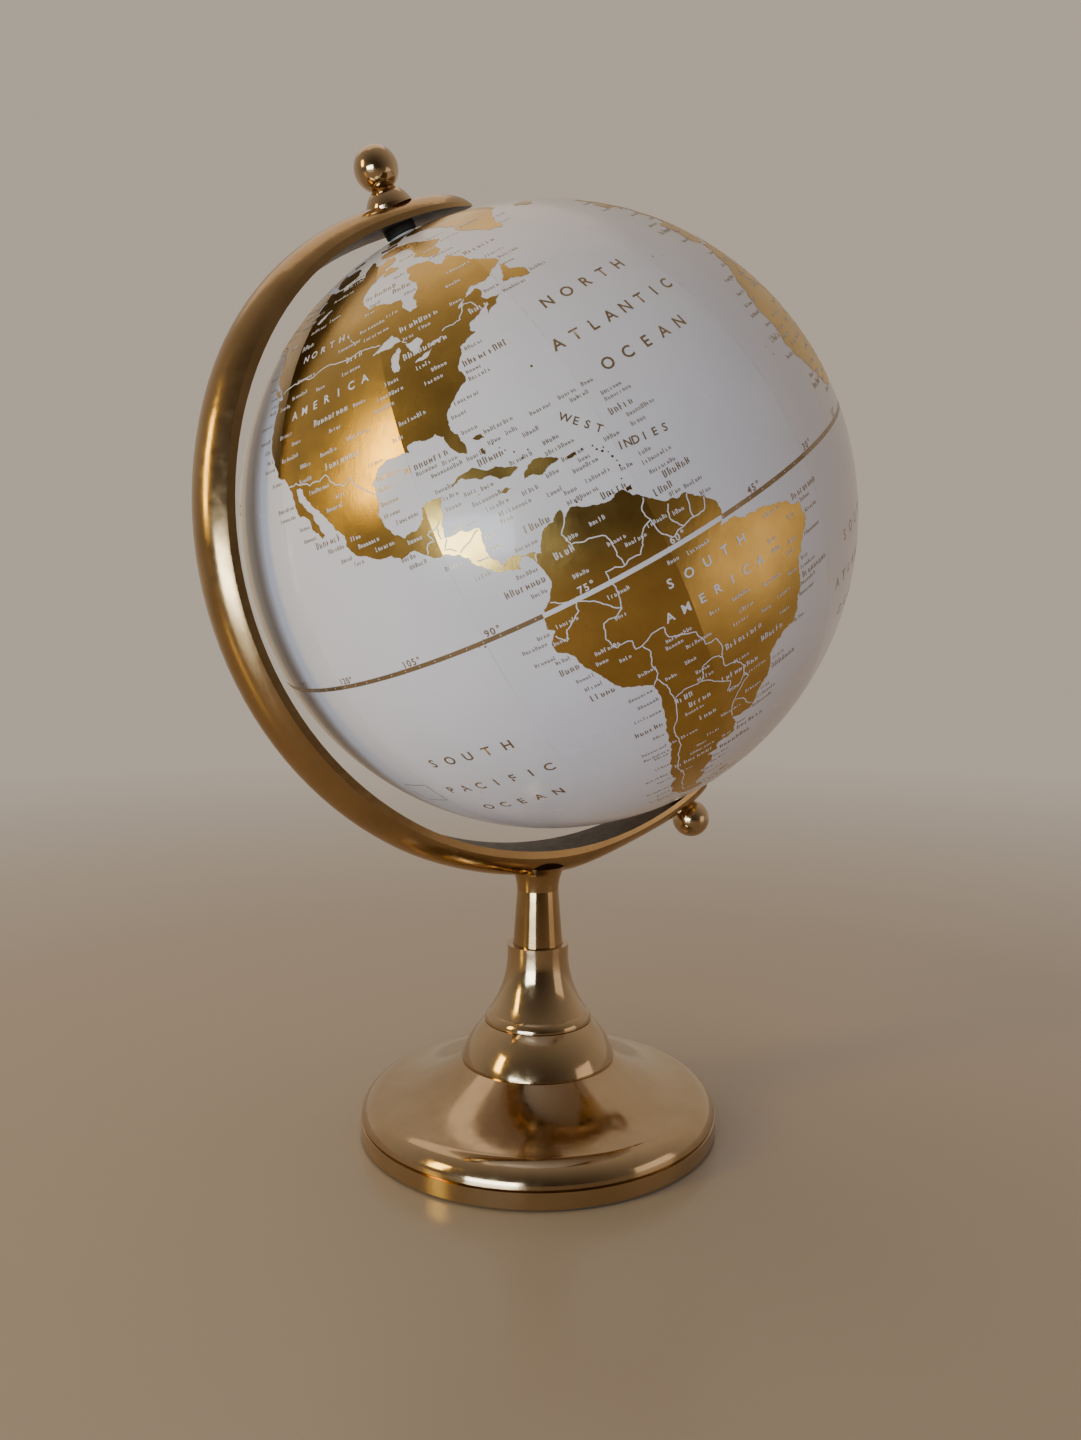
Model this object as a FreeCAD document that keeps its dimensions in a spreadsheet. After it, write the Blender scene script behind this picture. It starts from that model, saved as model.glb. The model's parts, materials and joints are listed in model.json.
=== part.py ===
import FreeCAD, Part
import math
import os

import Sketcher

# Desktop globe on a cast stand, in millimetres.
# +Z is up.  The origin is on the table, on the axis of the stem.
# The arm stands in the XZ plane and its open side faces +X.

# ---------------------------------------------------------------- driving dimensions

SIZES = {
    # globe
    "globe_radius": 101.6,
    "shell_wall": 1.6,
    "axis_tilt": 31.5,
    "centre_forward": 4.1,
    "centre_height": 206.8,
    "ring_width": 16.0,
    "ring_wall": 1.8,
    "glue_gap": 0.05,
    # pole bearings
    "axle_radius": 2.5,
    "running_gap": 0.06,
    "bush_radius": 4.5,
    "bush_flange": 6.5,
    "bush_flange_wall": 1.4,
    "bush_proud": 0.6,
    "side_play": 0.3,
    "north_spacer_radius": 5.0,
    "south_spacer_radius": 4.0,
    "north_seat_inner": 104.7,
    "north_seat_outer": 109.8,
    "south_seat_inner": 110.2,
    "south_seat_outer": 116.8,
    "seat_radius": 8.4,
    "spot_radius": 5.2,
    # knobs
    "cone_foot_radius": 7.5,
    "cone_foot_wall": 0.8,
    "neck_radius": 3.8,
    "cone_height": 6.1,
    "cone_bulge": 9.0,
    "cone_skirt": 1.6,
    "knob_lean": 9.5,
    "north_ball_radius": 6.8,
    "south_ball_radius": 6.9,
    "ball_flat_radius": 3.0,
    "thread_depth": 6.5,
    "thread_end_gap": 0.5,
    # foot
    "pad_wall": 0.8,
    "pad_radius": 60.0,
    "rim_radius": 61.5,
    "rim_top": 6.0,
    "groove_radius": 60.6,
    "groove_bottom": 6.3,
    "groove_top": 6.6,
    "shoulder_radius": 61.3,
    "shoulder_start": 6.9,
    "crease_radius": 54.0,
    "crease_height": 13.7,
    "crease_inset": 1.0,
    "shoulder_round": 7.6,
    "dish_round": 66.0,
    "foot_wall": 3.0,
    "web_radius": 26.9,
    "web_top": 24.2,
    "web_bottom": 20.6,
    # bells
    "cup_radius": 26.4,
    "cup_edge": 0.8,
    "cup_corner": 2.0,
    "cup_top": 37.4,
    "cup_top_radius": 18.6,
    "cup_round": 26.0,
    "bell_wall": 3.0,
    "cup_roof": 34.0,
    "bead_radius": 18.5,
    "bead_edge": 0.3,
    "bead_height": 3.4,
    "bead_round": 4.0,
    "collar_foot_radius": 16.9,
    "collar_neck_radius": 10.6,
    "collar_round": 36.0,
    "collar_top": 64.0,
    "collar_lip": 1.4,
    "socket_floor": 58.0,
    "collar_web": 4.0,
    "socket_gap": 0.1,
    # stem and tie rod
    "stem_low_radius": 8.6,
    "stem_high_radius": 7.2,
    "stem_top": 91.5,
    "flare_radius": 9.7,
    "flare_height": 8.5,
    "flare_round": 16.0,
    "rod_radius": 3.0,
    "rod_clearance": 0.3,
    "rod_bottom": 9.5,
    "rod_top": 84.0,
    "rod_end_gap": 1.0,
    "washer_radius": 9.0,
    "washer_wall": 1.6,
    "spring_radius": 5.6,
    "spring_wall": 1.5,
    "spring_slit": 1.0,
    "nut_across_flats": 10.0,
    "nut_height": 5.0,
    # arm section: flat inside face, short straight edge, crowned outside face
    "arm_edge_share": 0.26,
}

# Stations along the arm, as angle from straight up over the left side, inner radius,
# depth of the section and half width.  Between the upper and the lower stations the arm is
# a plain ring with the section named ring.
UPPER_STATIONS = {
    "tip": (16.2, 104.8, 1.5, 0.9),
    "leaf": (19.0, 104.2, 4.2, 4.2),
    "north": (25.0, 103.9, 6.3, 8.3),
    "seat": (32.0, 104.6, 7.2, 9.6),
    "neck": (43.0, 107.0, 7.8, 9.8),
    "bow": (58.0, 109.2, 8.7, 10.0),
}
RING = {
    "ring_start": 78.0,
    "ring_finish": 150.0,
    "ring_ease": 3.0,
    "ring_inner": 109.7,
    "ring_depth": 9.2,
    "ring_half": 10.0,
}
LOWER_STATIONS = {
    "fork": (168.0, 109.2, 9.3, 10.0),
    "root": (184.0, 109.0, 9.2, 9.7),
    "branch": (196.0, 109.2, 6.9, 8.7),
    "tail": (211.5, 110.0, 7.2, 7.4),
    "end": (216.2, 110.4, 6.4, 6.6),
}


class Size:
    """A length or angle with its number and the expression that the document binds."""

    def __init__(self, number, text):
        self.number = number
        self.text = text

    def combine(self, other, sign, number):
        return Size(number, "(%s %s %s)" % (self.text, sign, other.text))

    def __add__(self, other):
        other = as_size(other)
        return self.combine(other, "+", self.number + other.number)

    def __sub__(self, other):
        other = as_size(other)
        return self.combine(other, "-", self.number - other.number)

    def __mul__(self, other):
        other = as_size(other)
        return self.combine(other, "*", self.number * other.number)

    def __truediv__(self, other):
        other = as_size(other)
        return self.combine(other, "/", self.number / other.number)

    def __neg__(self):
        return Size(-self.number, "(-%s)" % self.text)


def as_size(value):
    if isinstance(value, Size):
        return value
    return Size(float(value), "%.6g" % value if value >= 0 else "(%.6g)" % value)


def sine(angle):
    return Size(math.sin(math.radians(angle.number)), "sin(%s)" % angle.text)


def cosine(angle):
    return Size(math.cos(math.radians(angle.number)), "cos(%s)" % angle.text)


doc = FreeCAD.newDocument("globe")
sheet = doc.addObject("Spreadsheet::Sheet", "Sizes")
size = {}


def add_size(alias, number):
    row = len(size) + 1
    sheet.set("A%d" % row, alias)
    sheet.set("B%d" % row, "%.6g" % number)
    sheet.setAlias("B%d" % row, alias)
    size[alias] = Size(float(number), "Sizes.%s" % alias)


for alias, number in list(SIZES.items()) + list(RING.items()):
    add_size(alias, number)
for station, numbers in list(UPPER_STATIONS.items()) + list(LOWER_STATIONS.items()):
    for part_name, number in zip(("angle", "inner", "depth", "half"), numbers):
        add_size("%s_%s" % (station, part_name), number)
doc.recompute()


# ---------------------------------------------------------------- helpers

def new_body(name):
    body = doc.addObject("PartDesign::Body", name)
    body.Label = name
    return body


def plane(body, role):
    """One of the body's own origin planes or axes."""
    return [f for f in body.Origin.OriginFeatures if f.Role == role][0]


def new_sketch(body, role, name):
    sketch = body.newObject("Sketcher::SketchObject", name)
    sketch.AttachmentSupport = [(plane(body, role), "")]
    sketch.MapMode = "FlatFace"
    return sketch


def pin_point(sketch, edge, end, corner):
    """Hold one end of an edge at a corner's two sizes, measured from the sketch origin."""
    for kind, axis_edge, value in (("DistanceX", -2, corner[0]), ("DistanceY", -1, corner[1])):
        if abs(value.number) < 1e-9:
            sketch.addConstraint(Sketcher.Constraint("PointOnObject", edge, end, axis_edge))
            continue
        index = sketch.addConstraint(
            Sketcher.Constraint(kind, -1, 1, edge, end, value.number))
        sketch.setExpression("Constraints[%d]" % index, value.text)


def arc_between(start, finish, radius, side):
    """Arc from start to finish with its centre to the left (+1) or right (-1) of the chord."""
    chord = finish - start
    half = chord.Length / 2
    across = FreeCAD.Vector(-chord.y, chord.x, 0).normalize()
    centre = (start + finish) * 0.5 + across * side * math.sqrt(radius * radius - half * half)
    first, last = (start, finish) if side > 0 else (finish, start)
    angle_1 = math.atan2(first.y - centre.y, first.x - centre.x)
    angle_2 = math.atan2(last.y - centre.y, last.x - centre.x)
    circle = Part.Circle(centre, FreeCAD.Vector(0, 0, 1), radius)
    return Part.ArcOfCircle(circle, angle_1, angle_2)


def draw_outline(sketch, corners):
    """Closed outline.  A corner is (x, y) or (x, y, radius, side): the last two make the
    edge that leaves it an arc."""
    corners = [tuple(as_size(v) for v in c[:3]) + tuple(c[3:]) for c in corners]
    count = len(corners)
    ends = []
    for index, corner in enumerate(corners):
        after = corners[(index + 1) % count]
        start = FreeCAD.Vector(corner[0].number, corner[1].number, 0)
        finish = FreeCAD.Vector(after[0].number, after[1].number, 0)
        if len(corner) == 2:
            edge = sketch.addGeometry(Part.LineSegment(start, finish), False)
            ends.append((edge, 1, 2))
            continue
        side = corner[3]
        edge = sketch.addGeometry(arc_between(start, finish, corner[2].number, side), False)
        ends.append((edge, 1, 2) if side > 0 else (edge, 2, 1))
    for index in range(count):
        edge, _, finish_end = ends[index]
        next_edge, start_end, _ = ends[(index + 1) % count]
        sketch.addConstraint(
            Sketcher.Constraint("Coincident", edge, finish_end, next_edge, start_end))
    for index, corner in enumerate(corners):
        pin_point(sketch, ends[index][0], ends[index][1], corner)
        if len(corner) > 2:
            number = sketch.addConstraint(
                Sketcher.Constraint("Radius", ends[index][0], corner[2].number))
            sketch.setExpression("Constraints[%d]" % number, corner[2].text)


def turn(body, corners, kind="PartDesign::Revolution"):
    """Turn an outline of (radius, height) corners about the body's Z axis."""
    sketch = new_sketch(body, "XZ_Plane", body.Name + "_outline")
    draw_outline(sketch, corners)
    feature = body.newObject(kind, body.Name + "_turned")
    feature.Profile = sketch
    feature.ReferenceAxis = (sketch, ["V_Axis"])
    feature.Angle = 360
    body.Tip = feature
    return feature


def on_globe_axis(body):
    """Put a body's origin at the globe's centre with its Z axis along the tilted axle."""
    body.Placement = FreeCAD.Placement(
        FreeCAD.Vector(size["centre_forward"].number, 0, size["centre_height"].number),
        FreeCAD.Rotation(FreeCAD.Vector(0, 1, 0), -size["axis_tilt"].number))
    body.setExpression("Placement.Base.x", size["centre_forward"].text)
    body.setExpression("Placement.Base.z", size["centre_height"].text)
    body.setExpression("Placement.Rotation.Angle", "-" + size["axis_tilt"].text)


def on_knob_axis(body):
    """Stand a north knob part on the arm's seat.  It leans back from the axle towards upright."""
    pivot = size["north_seat_outer"]
    tilt = size["axis_tilt"]
    upright = tilt - size["knob_lean"]
    base_x = size["centre_forward"] + pivot * (sine(upright) - sine(tilt))
    base_z = size["centre_height"] + pivot * (cosine(tilt) - cosine(upright))
    body.Placement = FreeCAD.Placement(
        FreeCAD.Vector(base_x.number, 0, base_z.number),
        FreeCAD.Rotation(FreeCAD.Vector(0, 1, 0), -upright.number))
    body.setExpression("Placement.Base.x", base_x.text)
    body.setExpression("Placement.Base.z", base_z.text)
    body.setExpression("Placement.Rotation.Angle", "-" + upright.text)


def tube(name, inner, outer, low, high):
    """Plain turned tube, or a bar where inner is zero."""
    body = new_body(name)
    turn(body, [(inner, low), (outer, low), (outer, high), (inner, high)])
    return body


# ---------------------------------------------------------------- foot

def base_dish():
    """Hollow foot: rim band, groove, round shoulder, hollowed top, flat web."""
    body = new_body("base_dish")
    hole = size["rod_radius"] + size["rod_clearance"]
    wall = size["foot_wall"]
    turn(body, [
        (size["rim_radius"], size["pad_wall"]),
        (size["rim_radius"], size["rim_top"]),
        (size["groove_radius"], size["groove_bottom"]),
        (size["groove_radius"], size["groove_top"]),
        (size["shoulder_radius"], size["shoulder_start"], size["shoulder_round"], 1),
        (size["crease_radius"], size["crease_height"], size["dish_round"], -1),
        (size["web_radius"], size["web_top"]),
        (hole, size["web_top"]),
        (hole, size["web_bottom"]),
        (size["web_radius"], size["web_bottom"], size["dish_round"] + wall, 1),
        (size["crease_radius"] - size["crease_inset"], size["crease_height"] - wall),
        (size["groove_radius"] - wall, size["groove_bottom"]),
        (size["groove_radius"] - wall, size["pad_wall"]),
    ])
    return body


def base_pad():
    return tube("base_pad", as_size(0), size["pad_radius"], as_size(0), size["pad_wall"])


# ---------------------------------------------------------------- bells

def bell_cup():
    """Lower bell: short straight edge, domed side, hollow under its roof."""
    body = new_body("bell_cup")
    hole = size["rod_radius"] + size["rod_clearance"]
    edge_top = size["web_top"] + size["cup_edge"]
    inside = size["cup_top_radius"] - size["bell_wall"]
    turn(body, [
        (size["cup_radius"] - size["bell_wall"], size["web_top"]),
        (size["cup_radius"], size["web_top"]),
        (size["cup_radius"], edge_top, size["cup_round"], 1),
        (size["cup_top_radius"], size["cup_top"]),
        (hole, size["cup_top"]),
        (hole, size["cup_roof"]),
        (inside, size["cup_roof"]),
        (size["cup_radius"] - size["bell_wall"], edge_top + size["cup_corner"]),
    ])
    return body


def bell_collar():
    """Upper bell: bead at the foot, concave side, thin lip and a socket for the stem."""
    body = new_body("bell_collar")
    hole = size["rod_radius"] + size["rod_clearance"]
    low = size["cup_top"]
    bead_top = low + size["bead_height"]
    socket = size["stem_low_radius"] + size["socket_gap"]
    web_low = size["socket_floor"] - size["collar_web"]
    turn(body, [
        (size["collar_foot_radius"] - size["bell_wall"], low),
        (size["bead_radius"] - size["bead_edge"], low),
        (size["bead_radius"], low + size["bead_edge"], size["bead_round"], 1),
        (size["collar_foot_radius"], bead_top, size["collar_round"], -1),
        (size["collar_neck_radius"], size["collar_top"] - size["collar_lip"]),
        (size["collar_neck_radius"], size["collar_top"]),
        (socket, size["collar_top"]),
        (socket, size["socket_floor"]),
        (hole, size["socket_floor"]),
        (hole, web_low),
        (size["collar_neck_radius"] - size["bell_wall"], web_low),
    ])
    return body


# ---------------------------------------------------------------- arm

def arm_section(body, name, angle, inner, depth, half):
    """D-shaped section of the arm, square to the arm, at an angle from straight up."""
    sketch = new_sketch(body, "XY_Plane", "section_" + name)
    swing = as_size(90) - angle
    sketch.AttachmentOffset = FreeCAD.Placement(
        FreeCAD.Vector(0, 0, 0), FreeCAD.Rotation(FreeCAD.Vector(0, 1, 0), swing.number))
    sketch.setExpression("AttachmentOffset.Rotation.Angle", swing.text)
    edge = inner + depth * size["arm_edge_share"]
    rise = inner + depth - edge
    crown = (half * half + rise * rise) / (rise * 2)
    draw_outline(sketch, [
        (-inner, -half),
        (-inner, half),
        (-edge, half, crown, 1),
        (-edge, -half),
    ])
    return sketch


def station_section(body, name):
    return arm_section(body, name, *[size["%s_%s" % (name, what)]
                                     for what in ("angle", "inner", "depth", "half")])


def ring_section(body, name, angle):
    return arm_section(body, name, angle,
                       size["ring_inner"], size["ring_depth"], size["ring_half"])


def loft_arm(body, name, sections):
    loft = body.newObject("PartDesign::AdditiveLoft", name)
    loft.Profile = sections[0]
    loft.Sections = sections[1:]
    body.Tip = loft


def meridian_arm():
    """One casting: the lofted arm, the stem under it and the two seats for the axle."""
    body = new_body("meridian_arm")
    start = ring_section(body, "start", size["ring_start"])
    ring = body.newObject("PartDesign::Revolution", "arm_ring")
    ring.Profile = start
    ring.ReferenceAxis = (plane(body, "Y_Axis"), [""])
    ring.setExpression("Angle", (size["ring_finish"] - size["ring_start"]).text)
    ring.Reversed = True
    body.Tip = ring
    ease = size["ring_ease"]
    upper = [station_section(body, name) for name in UPPER_STATIONS]
    upper.append(ring_section(body, "start_ease", size["ring_start"] - ease))
    upper.append(ring_section(body, "upper_joint", size["ring_start"]))
    loft_arm(body, "arm_upper", upper)
    lower = [ring_section(body, "lower_joint", size["ring_finish"])]
    lower.append(ring_section(body, "finish_ease", size["ring_finish"] + ease))
    lower += [station_section(body, name) for name in LOWER_STATIONS]
    loft_arm(body, "arm_lower", lower)

    stem_outline = new_sketch(body, "XZ_Plane", "stem_outline")
    shift_x = -size["centre_forward"]
    shift_z = -size["centre_height"]
    stem_outline.AttachmentOffset = FreeCAD.Placement(
        FreeCAD.Vector(shift_x.number, shift_z.number, 0), FreeCAD.Rotation())
    stem_outline.setExpression("AttachmentOffset.Base.x", shift_x.text)
    stem_outline.setExpression("AttachmentOffset.Base.y", shift_z.text)
    bore_end = size["rod_top"] + size["rod_end_gap"]
    draw_outline(stem_outline, [
        (size["rod_radius"], size["socket_floor"]),
        (size["stem_low_radius"], size["socket_floor"]),
        (size["stem_low_radius"], size["collar_top"]),
        (size["stem_high_radius"], size["stem_top"] - size["flare_height"], size["flare_round"], -1),
        (size["flare_radius"], size["stem_top"]),
        (as_size(0), size["stem_top"]),
        (as_size(0), bore_end),
        (size["rod_radius"], bore_end),
    ])
    stem = body.newObject("PartDesign::Revolution", "stem_turned")
    stem.Profile = stem_outline
    stem.ReferenceAxis = (stem_outline, ["V_Axis"])
    stem.Angle = 360
    body.Tip = stem
    doc.recompute()

    before = body.Tip.Shape.Volume
    seats = new_sketch(body, "XZ_Plane", "axle_seats")
    seats.AttachmentOffset = FreeCAD.Placement(
        FreeCAD.Vector(0, 0, 0),
        FreeCAD.Rotation(FreeCAD.Vector(0, 0, 1), size["axis_tilt"].number))
    seats.setExpression("AttachmentOffset.Rotation.Angle", size["axis_tilt"].text)
    reach = size["north_seat_outer"] + 20
    draw_outline(seats, [
        (as_size(0), -reach),
        (size["seat_radius"], -reach),
        (size["seat_radius"], -size["south_seat_outer"]),
        (size["axle_radius"], -size["south_seat_outer"]),
        (size["axle_radius"], -size["south_seat_inner"]),
        (size["spot_radius"], -size["south_seat_inner"]),
        (size["spot_radius"], size["north_seat_inner"]),
        (size["axle_radius"], size["north_seat_inner"]),
        (size["axle_radius"], size["north_seat_outer"]),
        (size["seat_radius"], size["north_seat_outer"]),
        (size["seat_radius"], reach),
        (as_size(0), reach),
    ])
    groove = body.newObject("PartDesign::Groove", "axle_bores")
    groove.Profile = seats
    groove.ReferenceAxis = (seats, ["V_Axis"])
    groove.Angle = 360
    body.Tip = groove
    doc.recompute()
    if before - body.Tip.Shape.Volume < 50:
        raise RuntimeError("the axle bores cut nothing from the arm")

    body.Placement = FreeCAD.Placement(
        FreeCAD.Vector(size["centre_forward"].number, 0, size["centre_height"].number),
        FreeCAD.Rotation())
    body.setExpression("Placement.Base.x", size["centre_forward"].text)
    body.setExpression("Placement.Base.z", size["centre_height"].text)
    return body


# ---------------------------------------------------------------- tie rod and its fasteners

def tie_rod():
    return tube("tie_rod", as_size(0), size["rod_radius"], size["rod_bottom"], size["rod_top"])


def tie_washer():
    hole = size["rod_radius"] + size["rod_clearance"]
    high = size["web_bottom"]
    return tube("tie_washer", hole, size["washer_radius"], high - size["washer_wall"], high)


def spring_washer():
    """Split washer: a ring with a narrow slit on its +X side."""
    hole = size["rod_radius"] + size["rod_clearance"]
    high = size["web_bottom"] - size["washer_wall"]
    body = tube("spring_washer", hole, size["spring_radius"], high - size["spring_wall"], high)
    doc.recompute()
    before = body.Tip.Shape.Volume
    sketch = new_sketch(body, "XY_Plane", "slit")
    half = size["spring_slit"] / 2
    draw_outline(sketch, [
        (as_size(1), -half),
        (size["spring_radius"] + 1, -half),
        (size["spring_radius"] + 1, half),
        (as_size(1), half),
    ])
    pocket = body.newObject("PartDesign::Pocket", "slit_cut")
    pocket.Profile = sketch
    pocket.Type = "Length"
    pocket.Reversed = True
    pocket.setExpression("Length", high.text)
    body.Tip = pocket
    doc.recompute()
    if before - body.Tip.Shape.Volume < 1:
        raise RuntimeError("the slit cut nothing from the spring washer")
    return body


def tie_nut():
    """Hexagon nut tight on the tie rod."""
    high = size["web_bottom"] - size["washer_wall"] - size["spring_wall"]
    prism = doc.addObject("Part::Prism", "nut_prism")
    prism.Polygon = 6
    prism.setExpression("Circumradius", "%s / sqrt(3)" % size["nut_across_flats"].text)
    prism.setExpression("Height", size["nut_height"].text)
    prism.setExpression("Placement.Base.z", (high - size["nut_height"]).text)
    bore = doc.addObject("Part::Cylinder", "nut_bore")
    bore.setExpression("Radius", size["rod_radius"].text)
    bore.setExpression("Height", high.text)
    nut = doc.addObject("Part::Cut", "tie_nut")
    nut.Label = "tie_nut"
    nut.Base = prism
    nut.Tool = bore
    return nut


# ---------------------------------------------------------------- axle, spacers and knobs

def ball_reach(side):
    """Distance from the globe's centre to the middle of a ball knob."""
    radius = size[side + "_ball_radius"]
    flat = size["ball_flat_radius"]
    drop = math.sqrt(radius.number ** 2 - flat.number ** 2)
    lift = Size(drop, "sqrt(%s ^ 2 - %s ^ 2)" % (radius.text, flat.text))
    if side == "north":
        return size["north_seat_outer"] + size["cone_height"] + lift
    return size["south_seat_outer"] + lift


def axle_end(side):
    """Height on the axle where the rod stops inside a ball."""
    radius = size[side + "_ball_radius"]
    return ball_reach(side) - radius + size["thread_depth"]


def axle_rod():
    """Rod through the globe, with its threaded north end bent towards upright at the seat."""
    seat = size["north_seat_outer"]
    straight = tube("axle_straight", as_size(0), size["axle_radius"], -axle_end("south"), seat)
    on_globe_axis(straight)
    bent = tube("axle_bent", as_size(0), size["axle_radius"], seat, axle_end("north"))
    on_knob_axis(bent)
    rod = doc.addObject("Part::MultiFuse", "axle_rod")
    rod.Label = "axle_rod"
    rod.Shapes = [straight, bent]
    return rod


def ball(side):
    """Ball knob with a flat foot and a blind thread; drawn on the +Z side of its body."""
    body = new_body(side + "_ball")
    centre = ball_reach(side)
    radius = size[side + "_ball_radius"]
    flat = size["ball_flat_radius"]
    drop = Size(math.sqrt(radius.number ** 2 - flat.number ** 2),
                "sqrt(%s ^ 2 - %s ^ 2)" % (radius.text, flat.text))
    foot = centre - drop
    thread_top = axle_end(side) + size["thread_end_gap"]
    turn(body, [
        (size["axle_radius"], foot),
        (flat, foot, radius, 1),
        (radius, centre, radius, 1),
        (as_size(0), centre + radius),
        (as_size(0), thread_top),
        (size["axle_radius"], thread_top),
    ])
    if side == "north":
        on_knob_axis(body)
    else:
        on_globe_axis(body)
        body.setExpression("Placement.Rotation.Angle", "180 - " + size["axis_tilt"].text)
    return body


def north_cone():
    """Cone washer: short straight foot, bulged side, flat top; its foot is cut to the seat."""
    seat = size["north_seat_outer"]
    low = seat - size["cone_skirt"]
    foot_top = seat + size["cone_foot_wall"]
    high = seat + size["cone_height"]
    cone = new_body("leaning_cone")
    turn(cone, [
        (size["axle_radius"], low),
        (size["cone_foot_radius"], low),
        (size["cone_foot_radius"], foot_top, size["cone_bulge"], 1),
        (size["neck_radius"], high),
        (size["axle_radius"], high),
    ])
    on_knob_axis(cone)
    slab_radius = size["seat_radius"] * 2
    below = tube("below_seat", as_size(0), slab_radius, seat - size["cone_foot_radius"], seat)
    on_globe_axis(below)
    washer = doc.addObject("Part::Cut", "north_cone")
    washer.Label = "north_cone"
    washer.Base = cone
    washer.Tool = below
    return washer


def spacer(side):
    """Spacer on the axle between the arm's seat and the globe's bush."""
    low = size["globe_radius"] + size["bush_proud"] + size["side_play"]
    high = size[side + "_seat_inner"]
    body = tube(side + "_spacer", size["axle_radius"], size[side + "_spacer_radius"], low, high)
    on_globe_axis(body)
    if side == "south":
        body.setExpression("Placement.Rotation.Angle", "180 - " + size["axis_tilt"].text)
    return body


# ---------------------------------------------------------------- globe

def half_shell(name, sign):
    """Half of the hollow ball, with a round hole at the pole for the bush."""
    body = new_body(name)
    outer = size["globe_radius"]
    inner = outer - size["shell_wall"]
    hole = size["bush_radius"]
    outer_pole = Size(math.sqrt(outer.number ** 2 - hole.number ** 2),
                      "sqrt(%s ^ 2 - %s ^ 2)" % (outer.text, hole.text))
    inner_pole = Size(math.sqrt(inner.number ** 2 - hole.number ** 2),
                      "sqrt(%s ^ 2 - %s ^ 2)" % (inner.text, hole.text))
    turn(body, [
        (inner, as_size(0)),
        (outer, as_size(0), outer, sign),
        (hole, outer_pole * sign),
        (hole, inner_pole * sign, inner, -sign),
    ])
    on_globe_axis(body)
    return body


def joint_ring():
    """Ring inside the equator; its outside follows the shell with a thin glue line."""
    body = new_body("joint_ring")
    half = size["ring_width"] / 2
    outer = size["globe_radius"] - size["shell_wall"] - size["glue_gap"]
    inner = outer - size["ring_wall"]
    edge = Size(math.sqrt(outer.number ** 2 - half.number ** 2),
                "sqrt(%s ^ 2 - %s ^ 2)" % (outer.text, half.text))
    turn(body, [
        (inner - 1, -half),
        (edge, -half, outer, 1),
        (edge, half),
        (inner - 1, half),
    ])
    on_globe_axis(body)
    return body


def bush(side):
    """Bearing bush: flange inside the shell, plain bore that runs on the axle."""
    body = new_body(side + "_bush")
    bore = size["axle_radius"] + size["running_gap"]
    inner = size["globe_radius"] - size["shell_wall"]
    flange = size["bush_flange"]
    flange_high = Size(math.sqrt(inner.number ** 2 - flange.number ** 2),
                       "sqrt(%s ^ 2 - %s ^ 2)" % (inner.text, flange.text)) - size["glue_gap"]
    flange_low = flange_high - size["bush_flange_wall"]
    high = size["globe_radius"] + size["bush_proud"]
    turn(body, [
        (bore, flange_low),
        (flange, flange_low),
        (flange, flange_high),
        (size["bush_radius"], flange_high),
        (size["bush_radius"], high),
        (bore, high),
    ])
    on_globe_axis(body)
    if side == "south":
        body.setExpression("Placement.Rotation.Angle", "180 - " + size["axis_tilt"].text)
    return body


# ---------------------------------------------------------------- build, check and write

parts = [
    base_dish(), base_pad(), bell_cup(), bell_collar(), meridian_arm(),
    tie_rod(), tie_washer(), spring_washer(), tie_nut(),
    axle_rod(), north_cone(), ball("north"), ball("south"),
    spacer("north"), spacer("south"),
    half_shell("globe_north", 1), half_shell("globe_south", -1),
    joint_ring(), bush("north"), bush("south"),
]
doc.recompute()

for item in doc.Objects:
    if "Invalid" in item.State or "Error" in item.State:
        raise RuntimeError("%s failed: %s" % (item.Name, item.State))
for part in parts:
    if part.Shape.isNull() or not part.Shape.isValid():
        raise RuntimeError("%s has no valid shape" % part.Label)

os.makedirs("parts", exist_ok=True)
for part in parts:
    part.Shape.exportStep("parts/%s.step" % part.Label)
    box = part.Shape.BoundBox
    print("%-14s %8.1f mm3  x %.1f..%.1f  y %.1f..%.1f  z %.1f..%.1f" % (
        part.Label, part.Shape.Volume,
        box.XMin, box.XMax, box.YMin, box.YMax, box.ZMin, box.ZMax))
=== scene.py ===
import json
import math
import random

import bmesh
import bpy
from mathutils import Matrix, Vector
from mathutils.geometry import delaunay_2d_cdt


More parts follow.
